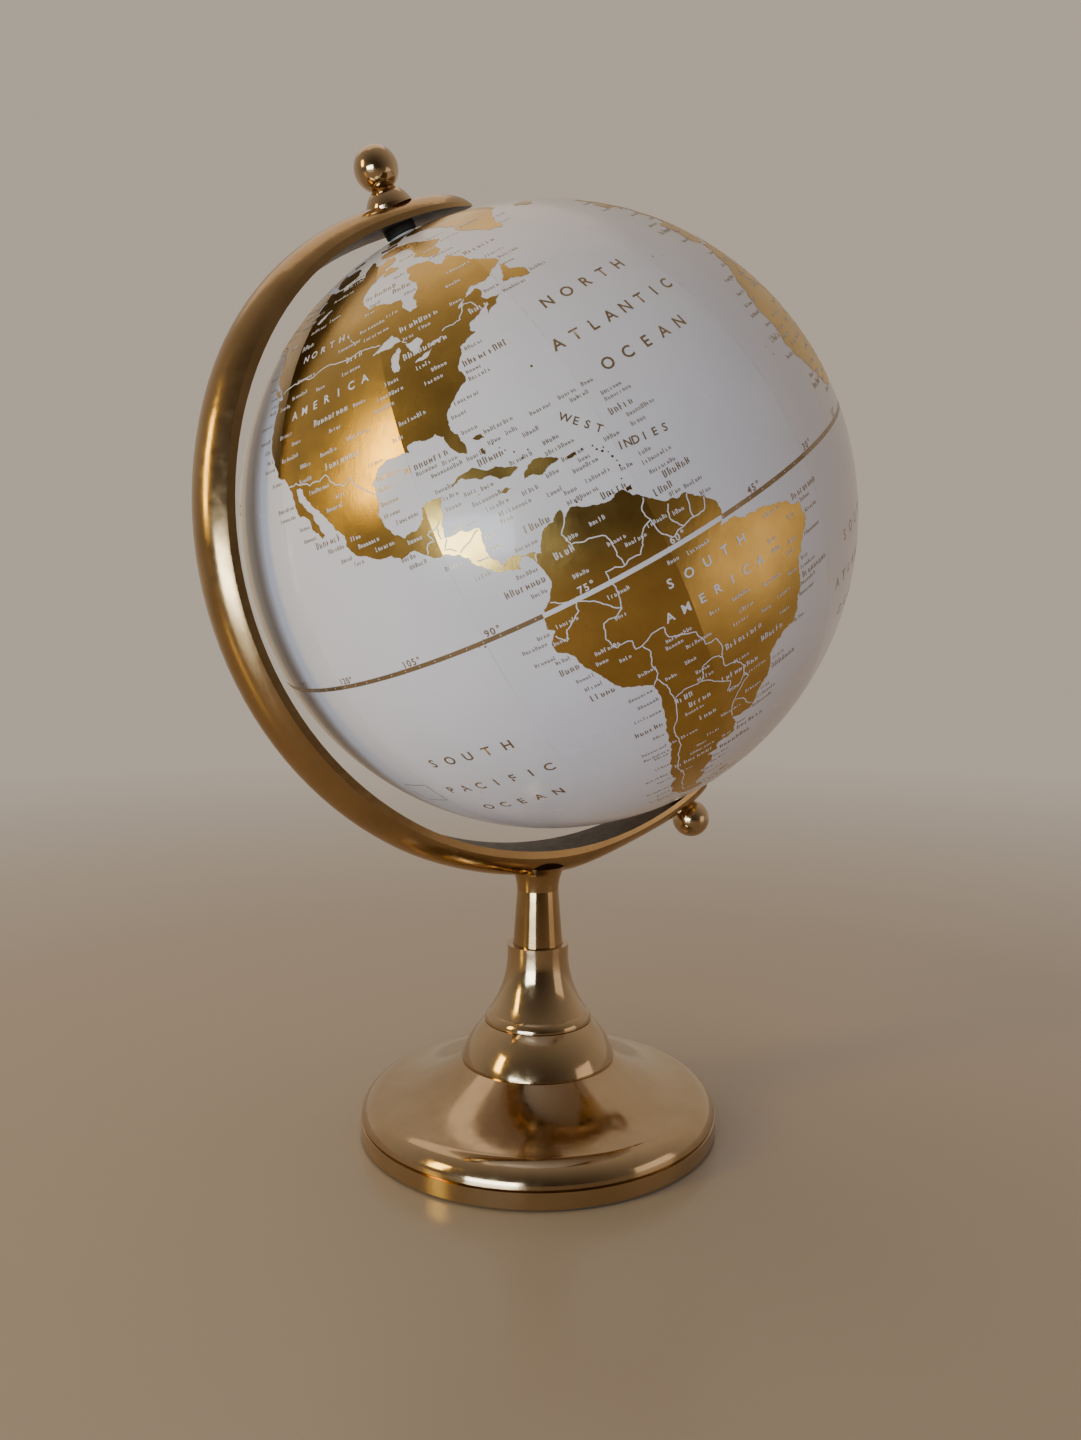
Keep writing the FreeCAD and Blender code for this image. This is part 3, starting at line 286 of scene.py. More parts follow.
BORDERS = [
    [(-122.6, 49), (-110, 49), (-95.2, 49), (-89.7, 48)],
    [(-84.5, 46.6), (-83.6, 46)],
    [(-75.8, 44.7), (-74.7, 45), (-71.5, 45), (-70.3, 46.2), (-69.2, 47.4), (-67.8, 47.1),
     (-67.3, 45)],
    [(-141, 69.4), (-141, 60.4), (-135.6, 59.6), (-130.2, 56), (-130.2, 54.9)],
    [(-117, 32.5), (-114.8, 32.6), (-111, 31.3), (-108.2, 31.3), (-106.5, 31.8), (-104.5, 29.6),
     (-103, 29), (-101.4, 29.8), (-99.5, 27.5), (-97.4, 25.9)],
    [(-92.1, 14.8), (-91.5, 16.1), (-90.4, 16.1), (-91, 17.3), (-89.2, 17.8), (-88.4, 18.4)],
    [(-89.2, 17.7), (-89.2, 15.9)],
    [(-88.5, 15.7), (-89.4, 14.4), (-87.8, 13.5)],
    [(-87.4, 13.1), (-86, 13.8), (-83.5, 15)],
    [(-85.6, 11.1), (-83.8, 10.9)],
    [(-82.9, 8.4), (-82.6, 9.4)],
    [(-77.8, 7.4), (-77.4, 8.5)],
    [(-71.4, 11.7), (-73, 9.2), (-72.4, 7.4), (-70, 7), (-67.5, 6.2), (-67.3, 3), (-66.9, 1.2),
     (-69.8, 1.7), (-69.4, -1), (-69.9, -4.2)],
    [(-69.9, -4.2), (-72, -2.4), (-75.3, -0.1), (-77.5, 0.6), (-78.7, 1.3)],
    [(-75.3, -0.1), (-75.6, -1.6), (-78.4, -3.4), (-79, -5), (-80.2, -3.5)],
    [(-69.9, -4.2), (-73.2, -5), (-73.9, -7.4), (-73, -9.4), (-70.6, -9.5), (-70.6, -11),
     (-69.5, -11), (-68.7, -12.5), (-69.3, -15.3), (-69, -16.6), (-69.5, -17.5), (-70.3, -18.3)],
    [(-69.5, -11), (-65.4, -10), (-65.3, -11.8), (-61, -13.5), (-60.2, -16.3), (-58.3, -16.3),
     (-57.6, -18.2), (-58.1, -20.1)],
    [(-69.5, -17.5), (-68.4, -19.4), (-68, -22.8), (-66, -21.9), (-62.7, -22.2), (-62, -20),
     (-59.3, -19.3), (-58.1, -20.1), (-57.9, -22.1), (-55.7, -22.4), (-54.3, -24.2),
     (-54.6, -25.6), (-56, -27.4), (-58.6, -27.2), (-57.6, -25.4), (-60, -24), (-62.7, -22.2)],
    [(-54.6, -25.6), (-53.7, -26.8), (-55.8, -28.3), (-57.6, -30.2), (-55.6, -30.9),
     (-53.5, -33.5)],
    [(-57.6, -30.2), (-58.3, -33.6)],
    [(-68, -22.8), (-68.4, -25), (-69.6, -28), (-70, -31), (-69.8, -33.5), (-71, -37),
     (-71.8, -41), (-71.7, -44.5), (-72.3, -48), (-72.3, -51), (-69, -52.2)],
    [(-60.2, 8.3), (-61.2, 6.8), (-60.7, 5.2), (-62.8, 3.7), (-64.2, 1.5), (-66.9, 1.2)],
    [(-60.7, 5.2), (-59.8, 2.3), (-58.8, 1.3), (-56.5, 1.9), (-54.6, 2.3), (-52.7, 2.3),
     (-51.8, 4)],
    [(-57.3, 5.8), (-58, 4), (-56.5, 1.9)],
    [(-54, 5.7), (-54.4, 4), (-54.6, 2.3)],
    [(-1.8, 43.2), (0.5, 42.7), (3, 42.4)],
    [(-8.8, 41.9), (-6.5, 41.8), (-7, 39.5), (-7.4, 37.3)],
    [(2.6, 51), (6, 49.5), (8, 49), (7.5, 47.5), (6.2, 46.3), (7.3, 43.9)],
    [(7.5, 47.5), (12.8, 47.6), (12.3, 50.3), (14.6, 51), (14.4, 53.8)],
    [(24, 65.8), (20.6, 69), (17, 68.2), (12.2, 63), (11.5, 59.3)],
    [(28.3, 70.5), (29, 68), (30, 63.8), (27.8, 60.7)],
    [(28.2, 59.3), (27.8, 56), (31, 53.5), (34, 51.5), (39.8, 49.6), (38.3, 47.2)],
    [(19, 54.4), (23.5, 53.8), (24, 50.6), (22.5, 48.5), (29.5, 45.5)],
    [(51, 51.5), (61, 50.8), (68.5, 55), (77, 54), (87.3, 49.1), (98, 50.2), (108, 49.4),
     (116.7, 49.8), (121, 53.3), (130.8, 48), (131, 44.9)],
    [(87.3, 49.1), (80, 42.2), (74, 39.8), (78.5, 34.5), (81.2, 30.2), (91.5, 27.8), (97.4, 28.2),
     (98.6, 24.5), (101.2, 21.4), (106, 22.8)],
    [(61.5, 25.3), (63, 29.8), (61, 35.5), (56, 38.2), (54, 37.5)],
    [(48, 30), (46, 33.5), (44.5, 37.5), (44, 41.2), (48.2, 41.8)],
    [(68.2, 23.8), (71, 27.8), (75, 32.2), (78.5, 34.5)],
    [(-8.7, 27.7), (-4.8, 25), (3, 19.2), (11.9, 23.5), (24.8, 20), (25, 31.4)],
    [(25, 22), (36.8, 22)],
    [(9.6, 30), (11.9, 23.5)],
    [(-2, 34.8), (-3, 31), (-8.7, 27.7)],
    [(3, 6.6), (3.6, 11.7), (13.5, 13.5), (14.5, 10), (9, 4.8)],
    [(15, 23), (15.5, 13.5), (22, 10.8), (27.5, 5.1), (30.8, 3.5), (29.6, -1.4), (29.4, -6),
     (30.8, -8.4), (28.5, -12), (24, -11), (21.8, -7.3), (16.6, -5.9), (12.4, -6)],
    [(34, 4.2), (34, -1), (39.2, -4.5)],
    [(41.9, 3.9), (42, -1.5)],
    [(24, -11), (22, -17.6), (12, -17.3)],
    [(20, -28.4), (20, -22), (25.3, -17.8)],
    [(17, -28.6), (20, -28.4), (25.5, -25.6), (29.4, -22.3), (31.5, -22.4), (33, -15.8),
     (34.6, -12)],
    [(141, -2.8), (141, -9)],
    [(109.8, 1.6), (114.5, 1.2), (117.4, 4.2)],
    [(129, -14.9), (129, -31.6)],
    [(138, -16.5), (138, -26), (141, -26), (141, -37.8)],
    [(141, -29), (153, -28.3)],
]

ISLETS = [
    (-61.5, 16.2), (-61.3, 15.4), (-61, 14.6), (-61, 13.8), (-59.5, 13.2), (-61.7, 12.1),
    (-62.2, 16.7), (-61.8, 17.1), (-62.8, 17.3), (-64.8, 18.3), (-63.1, 18), (-69, 12.2),
    (-68.3, 12.2), (-64.2, 11), (-77, 26.3), (-76.2, 24.8), (-75.5, 23.9), (-74.9, 23.2),
    (-73.8, 22.4), (-73.1, 21.1), (-71.8, 21.8), (-81.3, 19.3), (-79.9, 19.7), (-64.8, 32.3),
    (-91.1, -0.5), (-90.3, -0.7), (-155.5, 19.6), (-156.3, 20.8), (-158, 21.5), (-159.5, 22),
    (-16.6, 28.3), (-15.6, 28), (-14, 28.5), (-23.6, 15.1), (-24.3, 16.7), (-25.5, 37.8),
    (-28, 38.5), (-32.4, -3.9), (-149.4, -17.6), (-172, -13.7), (178, -17.8), (165.5, -21.5),
    (167, -15.3), (160, -9.5), (157, -8), (9, 42), (9, 40), (33.2, 35), (24.9, 35.2), (2.9, 39.6),
    (55.5, -21.1), (57.6, -20.2), (55.5, -4.7), (73.5, 4.2), (144.8, 13.5), (151.8, 7.4),
    (69.5, -49.3), (-36.7, -54.4), (-109.4, -27.1), (122.8, -10), (125.5, -9), (120, -9.6),
    (116.4, -8.7), (128, 0.8), (129.5, -3.2), (110, 19.2),
]

OCEAN_WORDS = [
    # word, first and last letter's longitude, latitude, letter height in metres
    ("NORTH", -55.2, -36.8, 39.5, 0.0033),
    ("ATLANTIC", -58.9, -32.7, 32.5, 0.0033),
    ("OCEAN", -53.8, -37.6, 26.3, 0.0033),
    ("SOUTH", -112.4, -96.4, -18.7, 0.0033),
    ("PACIFIC", -115.4, -92.9, -26.2, 0.0033),
    ("OCEAN", -112.7, -95.5, -33.3, 0.0033),
    ("SOUTH", -22.0, -6.0, -18.0, 0.0033),
    ("ATLANTIC", -26.0, -2.0, -25.0, 0.0033),
    ("OCEAN", -22.0, -6.0, -32.0, 0.0033),
    ("NORTH", -166.0, -150.0, 38.0, 0.0033),
    ("PACIFIC", -170.0, -146.0, 31.0, 0.0033),
    ("OCEAN", -166.0, -150.0, 12.0, 0.0033),
    ("INDIAN", 70.0, 88.0, -14.0, 0.0033),
    ("OCEAN", 71.0, 87.0, -21.0, 0.0033),
    ("ARCTIC", -168.0, -138.0, 76.5, 0.0023),
]

ISLAND_WORDS = [
    ("WEST", [(-65.0, 22.9), (-63.2, 21.2), (-61.3, 19.3)]),
    ("INDIES", [(-59.5, 15.6), (-56.4, 15.2), (-52.0, 14.7)]),
]
ISLAND_WORD_HEIGHT = 0.0021

LAND_WORDS = [
    ("NORTH", -114.8, -101.0, 53.0, 0.0022),
    ("AMERICA", -115.4, -94.5, 43.0, 0.0024),
    ("SOUTH", -62.0, -48.8, -5.2, 0.0026),
    ("AMERICA", -64.0, -46.8, -9.8, 0.0026),
    ("AFRICA", 10.0, 32.0, 12.0, 0.0033),
    ("EUROPE", 12.0, 38.0, 52.5, 0.0027),
    ("ASIA", 80.0, 106.0, 47.0, 0.0033),
    ("AUSTRALIA", 119.0, 146.0, -25.0, 0.0027),
    ("ANTARCTICA", 30.0, 120.0, -76.0, 0.0027),
]

# ---------------------------------------------------------------- mesh helpers


def add_piece(name, vertices, faces, material):
    """A mesh object of the printed map, which rides on the globe."""
    mesh = bpy.data.meshes.new(name)
    mesh.from_pydata([tuple(v) for v in vertices], [], faces)
    mesh.update()
    mesh.validate()
    for face in mesh.polygons:
        face.use_smooth = True
    mesh.materials.append(material)
    piece = bpy.data.objects.new(name, mesh)
    bpy.context.scene.collection.objects.link(piece)
    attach(piece, "globe")


def unit(lon, lat):
    """Direction of a longitude and latitude on a ball whose pole is +Z."""
    turn = math.radians(lon)
    rise = math.radians(lat)
    around = math.cos(rise)
    return Vector((around * math.cos(turn), around * math.sin(turn), math.sin(rise)))


def place(direction, lift):
    """The point of the ball in a map direction, from unit()."""
    lat = math.degrees(math.asin(max(-1.0, min(1.0, direction.z))))
    lon = math.degrees(math.atan2(direction.y, direction.x))
    return on_ball(lon, lat, lift)


COAST_BEND = 0.16                        # sideways break of a coast, as a share of its span
COAST_FINEST = 0.007                     # shortest span that is still broken, in radians
BORDER_BEND = 0.12
BORDER_FINEST = 0.01
BREAKS = 3                               # how many times over a span is halved


def rough_edge(a, b, chance, depth, bend, finest):
    """Points from a towards b on the unit ball, b left out, broken up as a coast is."""
    gap = b - a
    if depth == 0 or gap.length < finest:
        return [a]
    side = ((a + b) * 0.5).cross(gap).normalized()
    middle = (a + b) * 0.5 + side * gap.length * chance.uniform(-bend, bend)
    middle.normalize()
    return (rough_edge(a, middle, chance, depth - 1, bend, finest)
            + rough_edge(middle, b, chance, depth - 1, bend, finest))


def closed_coast(points, chance):
    """A closed outline as directions, roughened."""
    ends = [unit(lon, lat) for lon, lat in points]
    coast = []
    for a, b in zip(ends, ends[1:] + ends[:1]):
        coast += rough_edge(a, b, chance, BREAKS, COAST_BEND, COAST_FINEST)
    return coast


TINY = 1e-9                              # lengths under this count as nothing
SAME_POINT = 1e-6                        # chart points this near are joined


class Chart:
    """An even-spacing flat chart about one direction, to triangulate a patch of the ball."""

    def __init__(self, directions):
        middle = Vector((0.0, 0.0, 0.0))
        for direction in directions:
            middle += direction
        self.out = middle.normalized()
        self.right = self.out.orthogonal().normalized()
        self.up = self.out.cross(self.right)

    def flat(self, direction):
        """Chart place of a direction."""
        lean = self.out.angle(direction)
        x = direction.dot(self.right)
        y = direction.dot(self.up)
        size = math.hypot(x, y)
        if size < TINY:
            return Vector((0.0, 0.0))
        return Vector((x, y)) * (lean / size)

    def round(self, place_on_chart):
        """Direction of a chart place."""
        lean = place_on_chart.length
        if lean < TINY:
            return self.out.copy()
        x, y = place_on_chart / lean
        return self.out * math.cos(lean) + (self.right * x + self.up * y) * math.sin(lean)


GRID_STEP = math.radians(2.0)            # spacing of the points inside a patch
ROW_STEP = 0.87 * GRID_STEP              # spacing of their rows


def inside(point, loop):
    """True if a flat point is inside a closed flat loop."""
    x, y = point
    hit = False
    for (x0, y0), (x1, y1) in zip(loop, loop[1:] + loop[:1]):
        if (y0 > y) != (y1 > y) and x < x0 + (y - y0) * (x1 - x0) / (y1 - y0):
            hit = not hit
    return hit


def on_land(point, loops):
    """True if a flat point is inside the first loop and outside the others, its holes."""
    return inside(point, loops[0]) and not any(inside(point, hole) for hole in loops[1:])


def triangulate(outer, holes):
    """Directions and triangles of a patch with holes, fine enough to lie on the ball."""
    chart = Chart(outer)
    loops = [[chart.flat(d) for d in loop] for loop in [outer] + holes]
    points = []
    edges = []
    for loop in loops:
        start = len(points)
        points += loop
        edges += [(start + i, start + (i + 1) % len(loop)) for i in range(len(loop))]
    low_x = min(p.x for p in loops[0])
    high_x = max(p.x for p in loops[0])
    low_y = min(p.y for p in loops[0])
    high_y = max(p.y for p in loops[0])
    for i in range(int((high_x - low_x) / GRID_STEP) + 1):
        for j in range(int((high_y - low_y) / ROW_STEP) + 1):
            shift = 0.5 * GRID_STEP * (j % 2)
            spot = Vector((low_x + i * GRID_STEP + shift, low_y + j * ROW_STEP))
            if on_land(spot, loops):
                points.append(spot)
    made = delaunay_2d_cdt(points, edges, [], 0, SAME_POINT)
    flat_points, faces = made[0], made[2]
    kept = []
    for face in faces:
        centre = sum((flat_points[i] for i in face), Vector((0.0, 0.0))) / len(face)
        if on_land(centre, loops):
            kept.append(tuple(face))
    return [chart.round(p) for p in flat_points], kept


def ribbon(points, width, lift):
    """Vertices and faces of a flat line of one width that lies on the ball."""
    vertices = []
    for before, here, after in zip(points[:1] + points, points, points[1:] + points[-1:]):
        half = here.cross(after - before).normalized() * (0.5 * width / BALL_RADIUS)
        vertices.append(place((here + half).normalized(), lift))
        vertices.append(place((here - half).normalized(), lift))
    faces = [(k, k + 2, k + 3, k + 1) for k in range(0, 2 * len(points) - 2, 2)]
    return vertices, faces


def even_points(ends, step):
    """Directions along straight spans between ends, no further apart than step in radians."""
    points = []
    for a, b in zip(ends, ends[1:]):
        count = max(1, math.ceil((b - a).length / step))
        points += [a.lerp(b, i / count).normalized() for i in range(count)]
    return points + [ends[-1]]


def patch(middle_lon, middle_lat, outline, lift, turn=0.0):
    """Points of a small flat outline, in metres east and north, laid on the ball."""
    laid = []
    narrow = math.cos(math.radians(middle_lat))
    for east, north in outline:
        along = east * math.cos(turn) - north * math.sin(turn)
        across = east * math.sin(turn) + north * math.cos(turn)
        lon = middle_lon + math.degrees(along / (BALL_RADIUS * narrow))
        laid.append(on_ball(lon, middle_lat + math.degrees(across / BALL_RADIUS), lift))
    return laid


class Sheet:
    """Gathers many small patches into one piece."""

    def __init__(self):
        self.vertices = []
        self.faces = []

    def add(self, vertices, faces):
        start = len(self.vertices)
        self.vertices += vertices
        self.faces += [tuple(start + i for i in face) for face in faces]

    def piece(self, name, material, slot):
        add_piece(name, self.vertices, self.faces, material)


# ---------------------------------------------------------------- materials


def new_material(name, colour, metallic=0.0, roughness=0.5):
    """A node material whose shader has plain values on its own sockets."""
    material = bpy.data.materials.new(name)
    material.use_nodes = True
    shader = material.node_tree.nodes["Principled BSDF"]
    shader.inputs["Base Color"].default_value = (*colour, 1.0)
    shader.inputs["Metallic"].default_value = metallic
    shader.inputs["Roughness"].default_value = roughness
    return material


class Graph:
    """Short calls to build the nodes of a material or of the world."""

    def __init__(self, owner, shader="Principled BSDF"):
        self.owner = owner
        self.tree = owner.node_tree
        self.shader = self.tree.nodes[shader]

    def node(self, kind, **settings):
        made = self.tree.nodes.new(kind)
        for key, value in settings.items():
            setattr(made, key, value)
        return made

    def link(self, source, target):
        self.tree.links.new(source, target)

    def feed(self, socket, source):
        """Drive one socket of the shader."""
        self.link(source, self.shader.inputs[socket])

    def coordinates(self, stretch=(1.0, 1.0, 1.0), turn=(0.0, 0.0, 0.0)):
        """The piece's own coordinates in metres, turned and stretched."""
        texture = self.node("ShaderNodeTexCoord")
        mapping = self.node("ShaderNodeMapping")
        mapping.inputs["Scale"].default_value = stretch
        mapping.inputs["Rotation"].default_value = turn
        self.link(texture.outputs["Object"], mapping.inputs["Vector"])
        return mapping.outputs["Vector"]

    def noise(self, vector, scale, detail=3.0, roughness=0.55):
        """Cloudy noise from 0 to 1 with about scale cells to the metre."""
        made = self.node("ShaderNodeTexNoise")
        made.inputs["Scale"].default_value = scale
        made.inputs["Detail"].default_value = detail
        made.inputs["Roughness"].default_value = roughness
        self.link(vector, made.inputs["Vector"])
        return made.outputs["Fac"]

    def ramp(self, value, stops):
        """A colour or grey ramp; stops are (place, grey or colour)."""
        made = self.node("ShaderNodeValToRGB")
        elements = made.color_ramp.elements
        while len(elements) < len(stops):
            elements.new(0.5)
        for element, (position, colour) in zip(elements, stops):
            grey = (colour, colour, colour) if isinstance(colour, (int, float)) else colour
            element.position = position
            element.color = (*grey, 1.0)
        self.link(value, made.inputs["Fac"])
        return made.outputs["Color"]

    def mix_colour(self, share, a, b):
        """Colour a changing to colour b as the share rises to 1."""
        mixer = self.node("ShaderNodeMix", data_type="RGBA")
        self.link(share, mixer.inputs["Factor"])
        self.link(a, mixer.inputs[6])
        mixer.inputs[7].default_value = (*b, 1.0)
        return mixer.outputs[2]

    def maths(self, operation, a, b):
        """A calculation on two numbers or links."""
        made = self.node("ShaderNodeMath", operation=operation)
        for socket, value in zip(made.inputs, (a, b)):
            if isinstance(value, (int, float)):
                socket.default_value = value
            else:
                self.link(value, socket)
        return made.outputs["Value"]

    def vector(self, operation, a, b=None):
        """A vector calculation.  SCALE takes a number as b; LENGTH and NORMALIZE take no b."""
        made = self.node("ShaderNodeVectorMath", operation=operation)
        second = made.inputs["Scale"] if operation == "SCALE" else made.inputs[1]
        for socket, value in zip((made.inputs[0], second), (a, b)):
            if value is None:
                continue
            if isinstance(value, (int, float, tuple)):
                socket.default_value = value
            else:
                self.link(value, socket)
        number = operation in ("DOT_PRODUCT", "LENGTH")
        return made.outputs["Value"] if number else made.outputs["Vector"]

    def bump(self, height, distance, strength, under=None):
        """The surface normal tipped by a height of so many metres."""
        made = self.node("ShaderNodeBump")
        made.inputs["Distance"].default_value = distance
        made.inputs["Strength"].default_value = strength
        self.link(height, made.inputs["Height"])
        if under is not None:
            self.link(under, made.inputs["Normal"])
        return made.outputs["Normal"]


CHAMPAGNE = (0.58, 0.435, 0.27)
CHAMPAGNE_DARK = (0.46, 0.335, 0.195)
BRONZE = (0.50, 0.34, 0.175)
BRONZE_DARK = (0.38, 0.25, 0.12)
# Painted shade: near black on the arm's face towards the ball, standing in for the shaded
# underside of the ball that this face reflects.
ARM_INSIDE_PAINTED_SHADE = (0.10, 0.08, 0.065)
INSIDE_ROUGHER = 0.25                       # added to the roughness of the face towards the ball
RAMP_HEIGHT = 0.1                        # height in metres where the arm's polish ramp ends
STEM_POLISHED = 0.84                     # share of that height up to which the stem is bright
BOW_STARTS = 0.97                        # share from which the bow's brushed finish is full


def facing_ball(graph):
    """1 where the surface looks at the middle of the ball, as the arm's inside face does; the mask
    of the arm's painted shade.
    """
    texture = graph.node("ShaderNodeTexCoord")
    inwards = graph.vector("SUBTRACT", tuple(CENTRE), texture.outputs["Object"])
    facing = graph.vector("DOT_PRODUCT", graph.vector("NORMALIZE", inwards),
                          texture.outputs["Normal"])
    return graph.ramp(facing, [(0.80, 0.0), (0.93, 1.0)])


def cast_metal(name, colour, dark, smoothest, roughest):
    """Polished cast aluminium with a champagne lacquer and fine polishing marks."""
    graph = Graph(new_material(name, colour, metallic=1.0, roughness=smoothest))
    plain = graph.coordinates()
    cloud = graph.noise(plain, scale=38.0, detail=4.0)
    tint = graph.ramp(cloud, [(0.3, dark), (0.7, colour)])
    wear = graph.noise(plain, scale=260.0, detail=4.0)
    gloss = graph.ramp(wear, [(0.35, smoothest), (0.68, roughest)])
    waves = graph.noise(plain, scale=60.0, detail=1.0)
    broad = graph.bump(waves, distance=0.0003, strength=0.12)
    graph.feed("Normal", graph.bump(wear, distance=0.00002, strength=0.25, under=broad))
    return graph, tint, gloss


def turned_metal():
    """Foot, bells and knobs: turned and polished bright."""
    graph, tint, gloss = cast_metal("turned_metal", CHAMPAGNE, CHAMPAGNE_DARK,
                                    smoothest=0.09, roughest=0.17)
    graph.feed("Base Color", tint)
    graph.feed("Roughness", gloss)
    return graph.owner


def arm_metal():
    """The arm: brushed bow, polished stem and painted shade on the face towards the ball, which is
    also made rougher.
    """
    graph, tint, gloss = cast_metal("arm_metal", BRONZE, BRONZE_DARK,
                                    smoothest=0.17, roughest=0.25)
    texture = graph.node("ShaderNodeTexCoord")
    parts = graph.node("ShaderNodeSeparateXYZ")
    graph.link(texture.outputs["Object"], parts.inputs["Vector"])
    height = graph.maths("MULTIPLY", parts.outputs["Z"], 1.0 / RAMP_HEIGHT)
    polished = graph.ramp(height, [(STEM_POLISHED, 0.45), (BOW_STARTS, 1.0)])
    gloss = graph.maths("MULTIPLY", gloss, polished)
    inside_shade_mask = facing_ball(graph)
    rougher = graph.maths("MULTIPLY", inside_shade_mask, INSIDE_ROUGHER)
    # Painted shade: the face towards the ball is mixed to near black.
    graph.feed("Base Color", graph.mix_colour(inside_shade_mask, tint, ARM_INSIDE_PAINTED_SHADE))
    graph.feed("Roughness", graph.maths("ADD", gloss, rougher))
    return graph.owner


def steel():
    graph = Graph(new_material("steel", (0.55, 0.55, 0.53), metallic=1.0, roughness=0.35))
    wear = graph.noise(graph.coordinates(), scale=500.0)
    graph.feed("Roughness", graph.ramp(wear, [(0.3, 0.25), (0.7, 0.45)]))
    return graph.owner


GORE_DEGREES = 30                        # width of one printed paper strip
GORE = math.radians(GORE_DEGREES)


def gore_normal(graph, flatness, start):
    """The surface normal as on a ball papered with strips that lie a little flat from east
    to west, so that its reflections step at each seam."""
    texture = graph.node("ShaderNodeTexCoord")
    middle = graph.vector("SUBTRACT", texture.outputs["Object"], tuple(CENTRE))
    east = graph.vector("DOT_PRODUCT", middle, tuple(EAST))
    front = graph.vector("DOT_PRODUCT", middle, tuple(FRONT))
    lon = graph.maths("SUBTRACT", graph.maths("ARCTAN2", east, front), math.radians(TURN_OF_MAP))
    part = graph.maths("SUBTRACT", graph.maths("FLOORED_MODULO", lon, GORE), 0.5 * GORE)
    sideways = graph.vector("NORMALIZE", graph.vector("CROSS_PRODUCT", tuple(POLE), middle))
    lean = graph.vector("SCALE", sideways, graph.maths("MULTIPLY", part, -flatness))
    turned = graph.node("ShaderNodeVectorTransform", vector_type="NORMAL", convert_from="OBJECT",
                        convert_to="WORLD")
    graph.link(lean, turned.inputs["Vector"])
    long_lean = graph.vector("LENGTH", lean)
    scaled = graph.vector("SCALE", turned.outputs["Vector"], long_lean)
    return graph.vector("NORMALIZE", graph.vector("ADD", start, scaled))


WHITE_SKIN = (0.81, 0.795, 0.89)
WHITE_SMUDGED = (0.78, 0.765, 0.86)
SEAM_GREY = (0.55, 0.51, 0.52)
FOIL = (0.66, 0.44, 0.13)
FOIL_DARK = (0.52, 0.34, 0.10)
INK = (0.36, 0.26, 0.15)
INK_DARK = (0.27, 0.19, 0.11)
SKIN_FLATNESS = 0.08                     # share of a strip's roundness that is lost
FOIL_FLATNESS = 0.42
SLANT = (0.0, 0.55, 0.0)                 # turn that lines marks up with the ball's axle
GRAIN_SHADE = 0.75                       # a grain's darker colour, as a share of the full one


def clouded(name, dark, light, places, noise, metallic=0.0, roughness=0.3):
    """A material whose colour drifts between two tones.  Returns its graph and the noise."""
    graph = Graph(new_material(name, light, metallic, roughness))
    cloud = graph.noise(graph.coordinates(), *noise)
    graph.feed("Base Color", graph.ramp(cloud, list(zip(places, (dark, light)))))
    return graph, cloud


def globe_skin():
    """Glossy white shell with the faint handling smudges of a printed, lacquered ball."""
    graph, _ = clouded("globe_skin", WHITE_SMUDGED, WHITE_SKIN, (0.42, 0.60), (24.0, 5.0, 0.62))
    slanted = graph.coordinates((1.0, 1.0, 2.6), SLANT)
    smear = graph.noise(slanted, scale=60.0, detail=5.0, roughness=0.65)
    graph.feed("Roughness", graph.ramp(smear, [(0.35, 0.22), (0.7, 0.28)]))
    swell = graph.noise(graph.coordinates(), scale=120.0, detail=1.0)
    ripples = graph.bump(swell, distance=0.00005, strength=0.08)
    graph.feed("Normal", gore_normal(graph, SKIN_FLATNESS, ripples))
    graph.shader.inputs["Specular IOR Level"].default_value = 0.35
    graph.shader.inputs["Coat Weight"].default_value = 0.20
    graph.shader.inputs["Coat Roughness"].default_value = 0.07
    return graph.owner


def map_foil(name, light, dark, metallic):
    """Hot-stamped gold foil: thin, bright and slightly wrinkled."""
    graph, _ = clouded(name, dark, light, (0.34, 0.62), (45.0, 4.0, 0.6), metallic)
    slanted = graph.coordinates((1.0, 1.0, 0.3), SLANT)
    creases = graph.noise(slanted, scale=620.0, detail=2.0, roughness=0.6)
    gloss = graph.noise(graph.coordinates(), scale=70.0, roughness=0.6)
    graph.feed("Roughness", graph.ramp(gloss, [(0.3, 0.20), (0.7, 0.30)]))
    wrinkles = graph.bump(creases, distance=0.00006, strength=0.35)
    graph.feed("Normal", gore_normal(graph, FOIL_FLATNESS, wrinkles))
    return graph.owner


def map_print():
    """White ground that shows through the foil as lines and letters."""
    graph, _ = clouded("map_print", WHITE_SMUDGED, WHITE_SKIN, (0.35, 0.6), (200.0,),
                       roughness=0.35)
    return graph.owner


def paper_seam():
    """The faint grey of the joins between the paper strips."""
    graph, _ = clouded("seam", SEAM_GREY, WHITE_SMUDGED, (0.35, 0.65), (90.0,), roughness=0.4)
    return graph.owner


def matte(name, colour, scale):
    """A dull material with a fine grain, for felt, board and plain plastic."""
    dark = tuple(GRAIN_SHADE * c for c in colour)
    graph, grain = clouded(name, dark, colour, (0.3, 0.7), (scale, 4.0), roughness=0.8)
    graph.feed("Normal", graph.bump(grain, distance=0.0002, strength=0.4))
    return graph.owner


TURNED_METAL = turned_metal()
ARM_METAL = arm_metal()
STEEL = steel()
SKIN = globe_skin()
GOLD = map_foil("map_foil", FOIL, FOIL_DARK, 1.0)
GOLD_INK = map_foil("gold_ink", INK, INK_DARK, 0.6)
PRINT = map_print()
# Felt pad in near black. The thin edge that shows under the foot also stands in for the dark
# shadow line at the table.
FELT_AND_SHADOW_LINE = matte("felt", (0.03, 0.03, 0.03), 1500.0)
BUSH = matte("bush_plastic", (0.8, 0.79, 0.75), 400.0)
# Painted shade: the spacers are coloured near black, as dark as the shade in the gap under the
# arm's tongue where they sit.
SPACER_SHADE_DARK = matte("spacer_plastic", (0.05, 0.045, 0.04), 400.0)
BOARD = matte("ring_board", (0.5, 0.4, 0.28), 600.0)

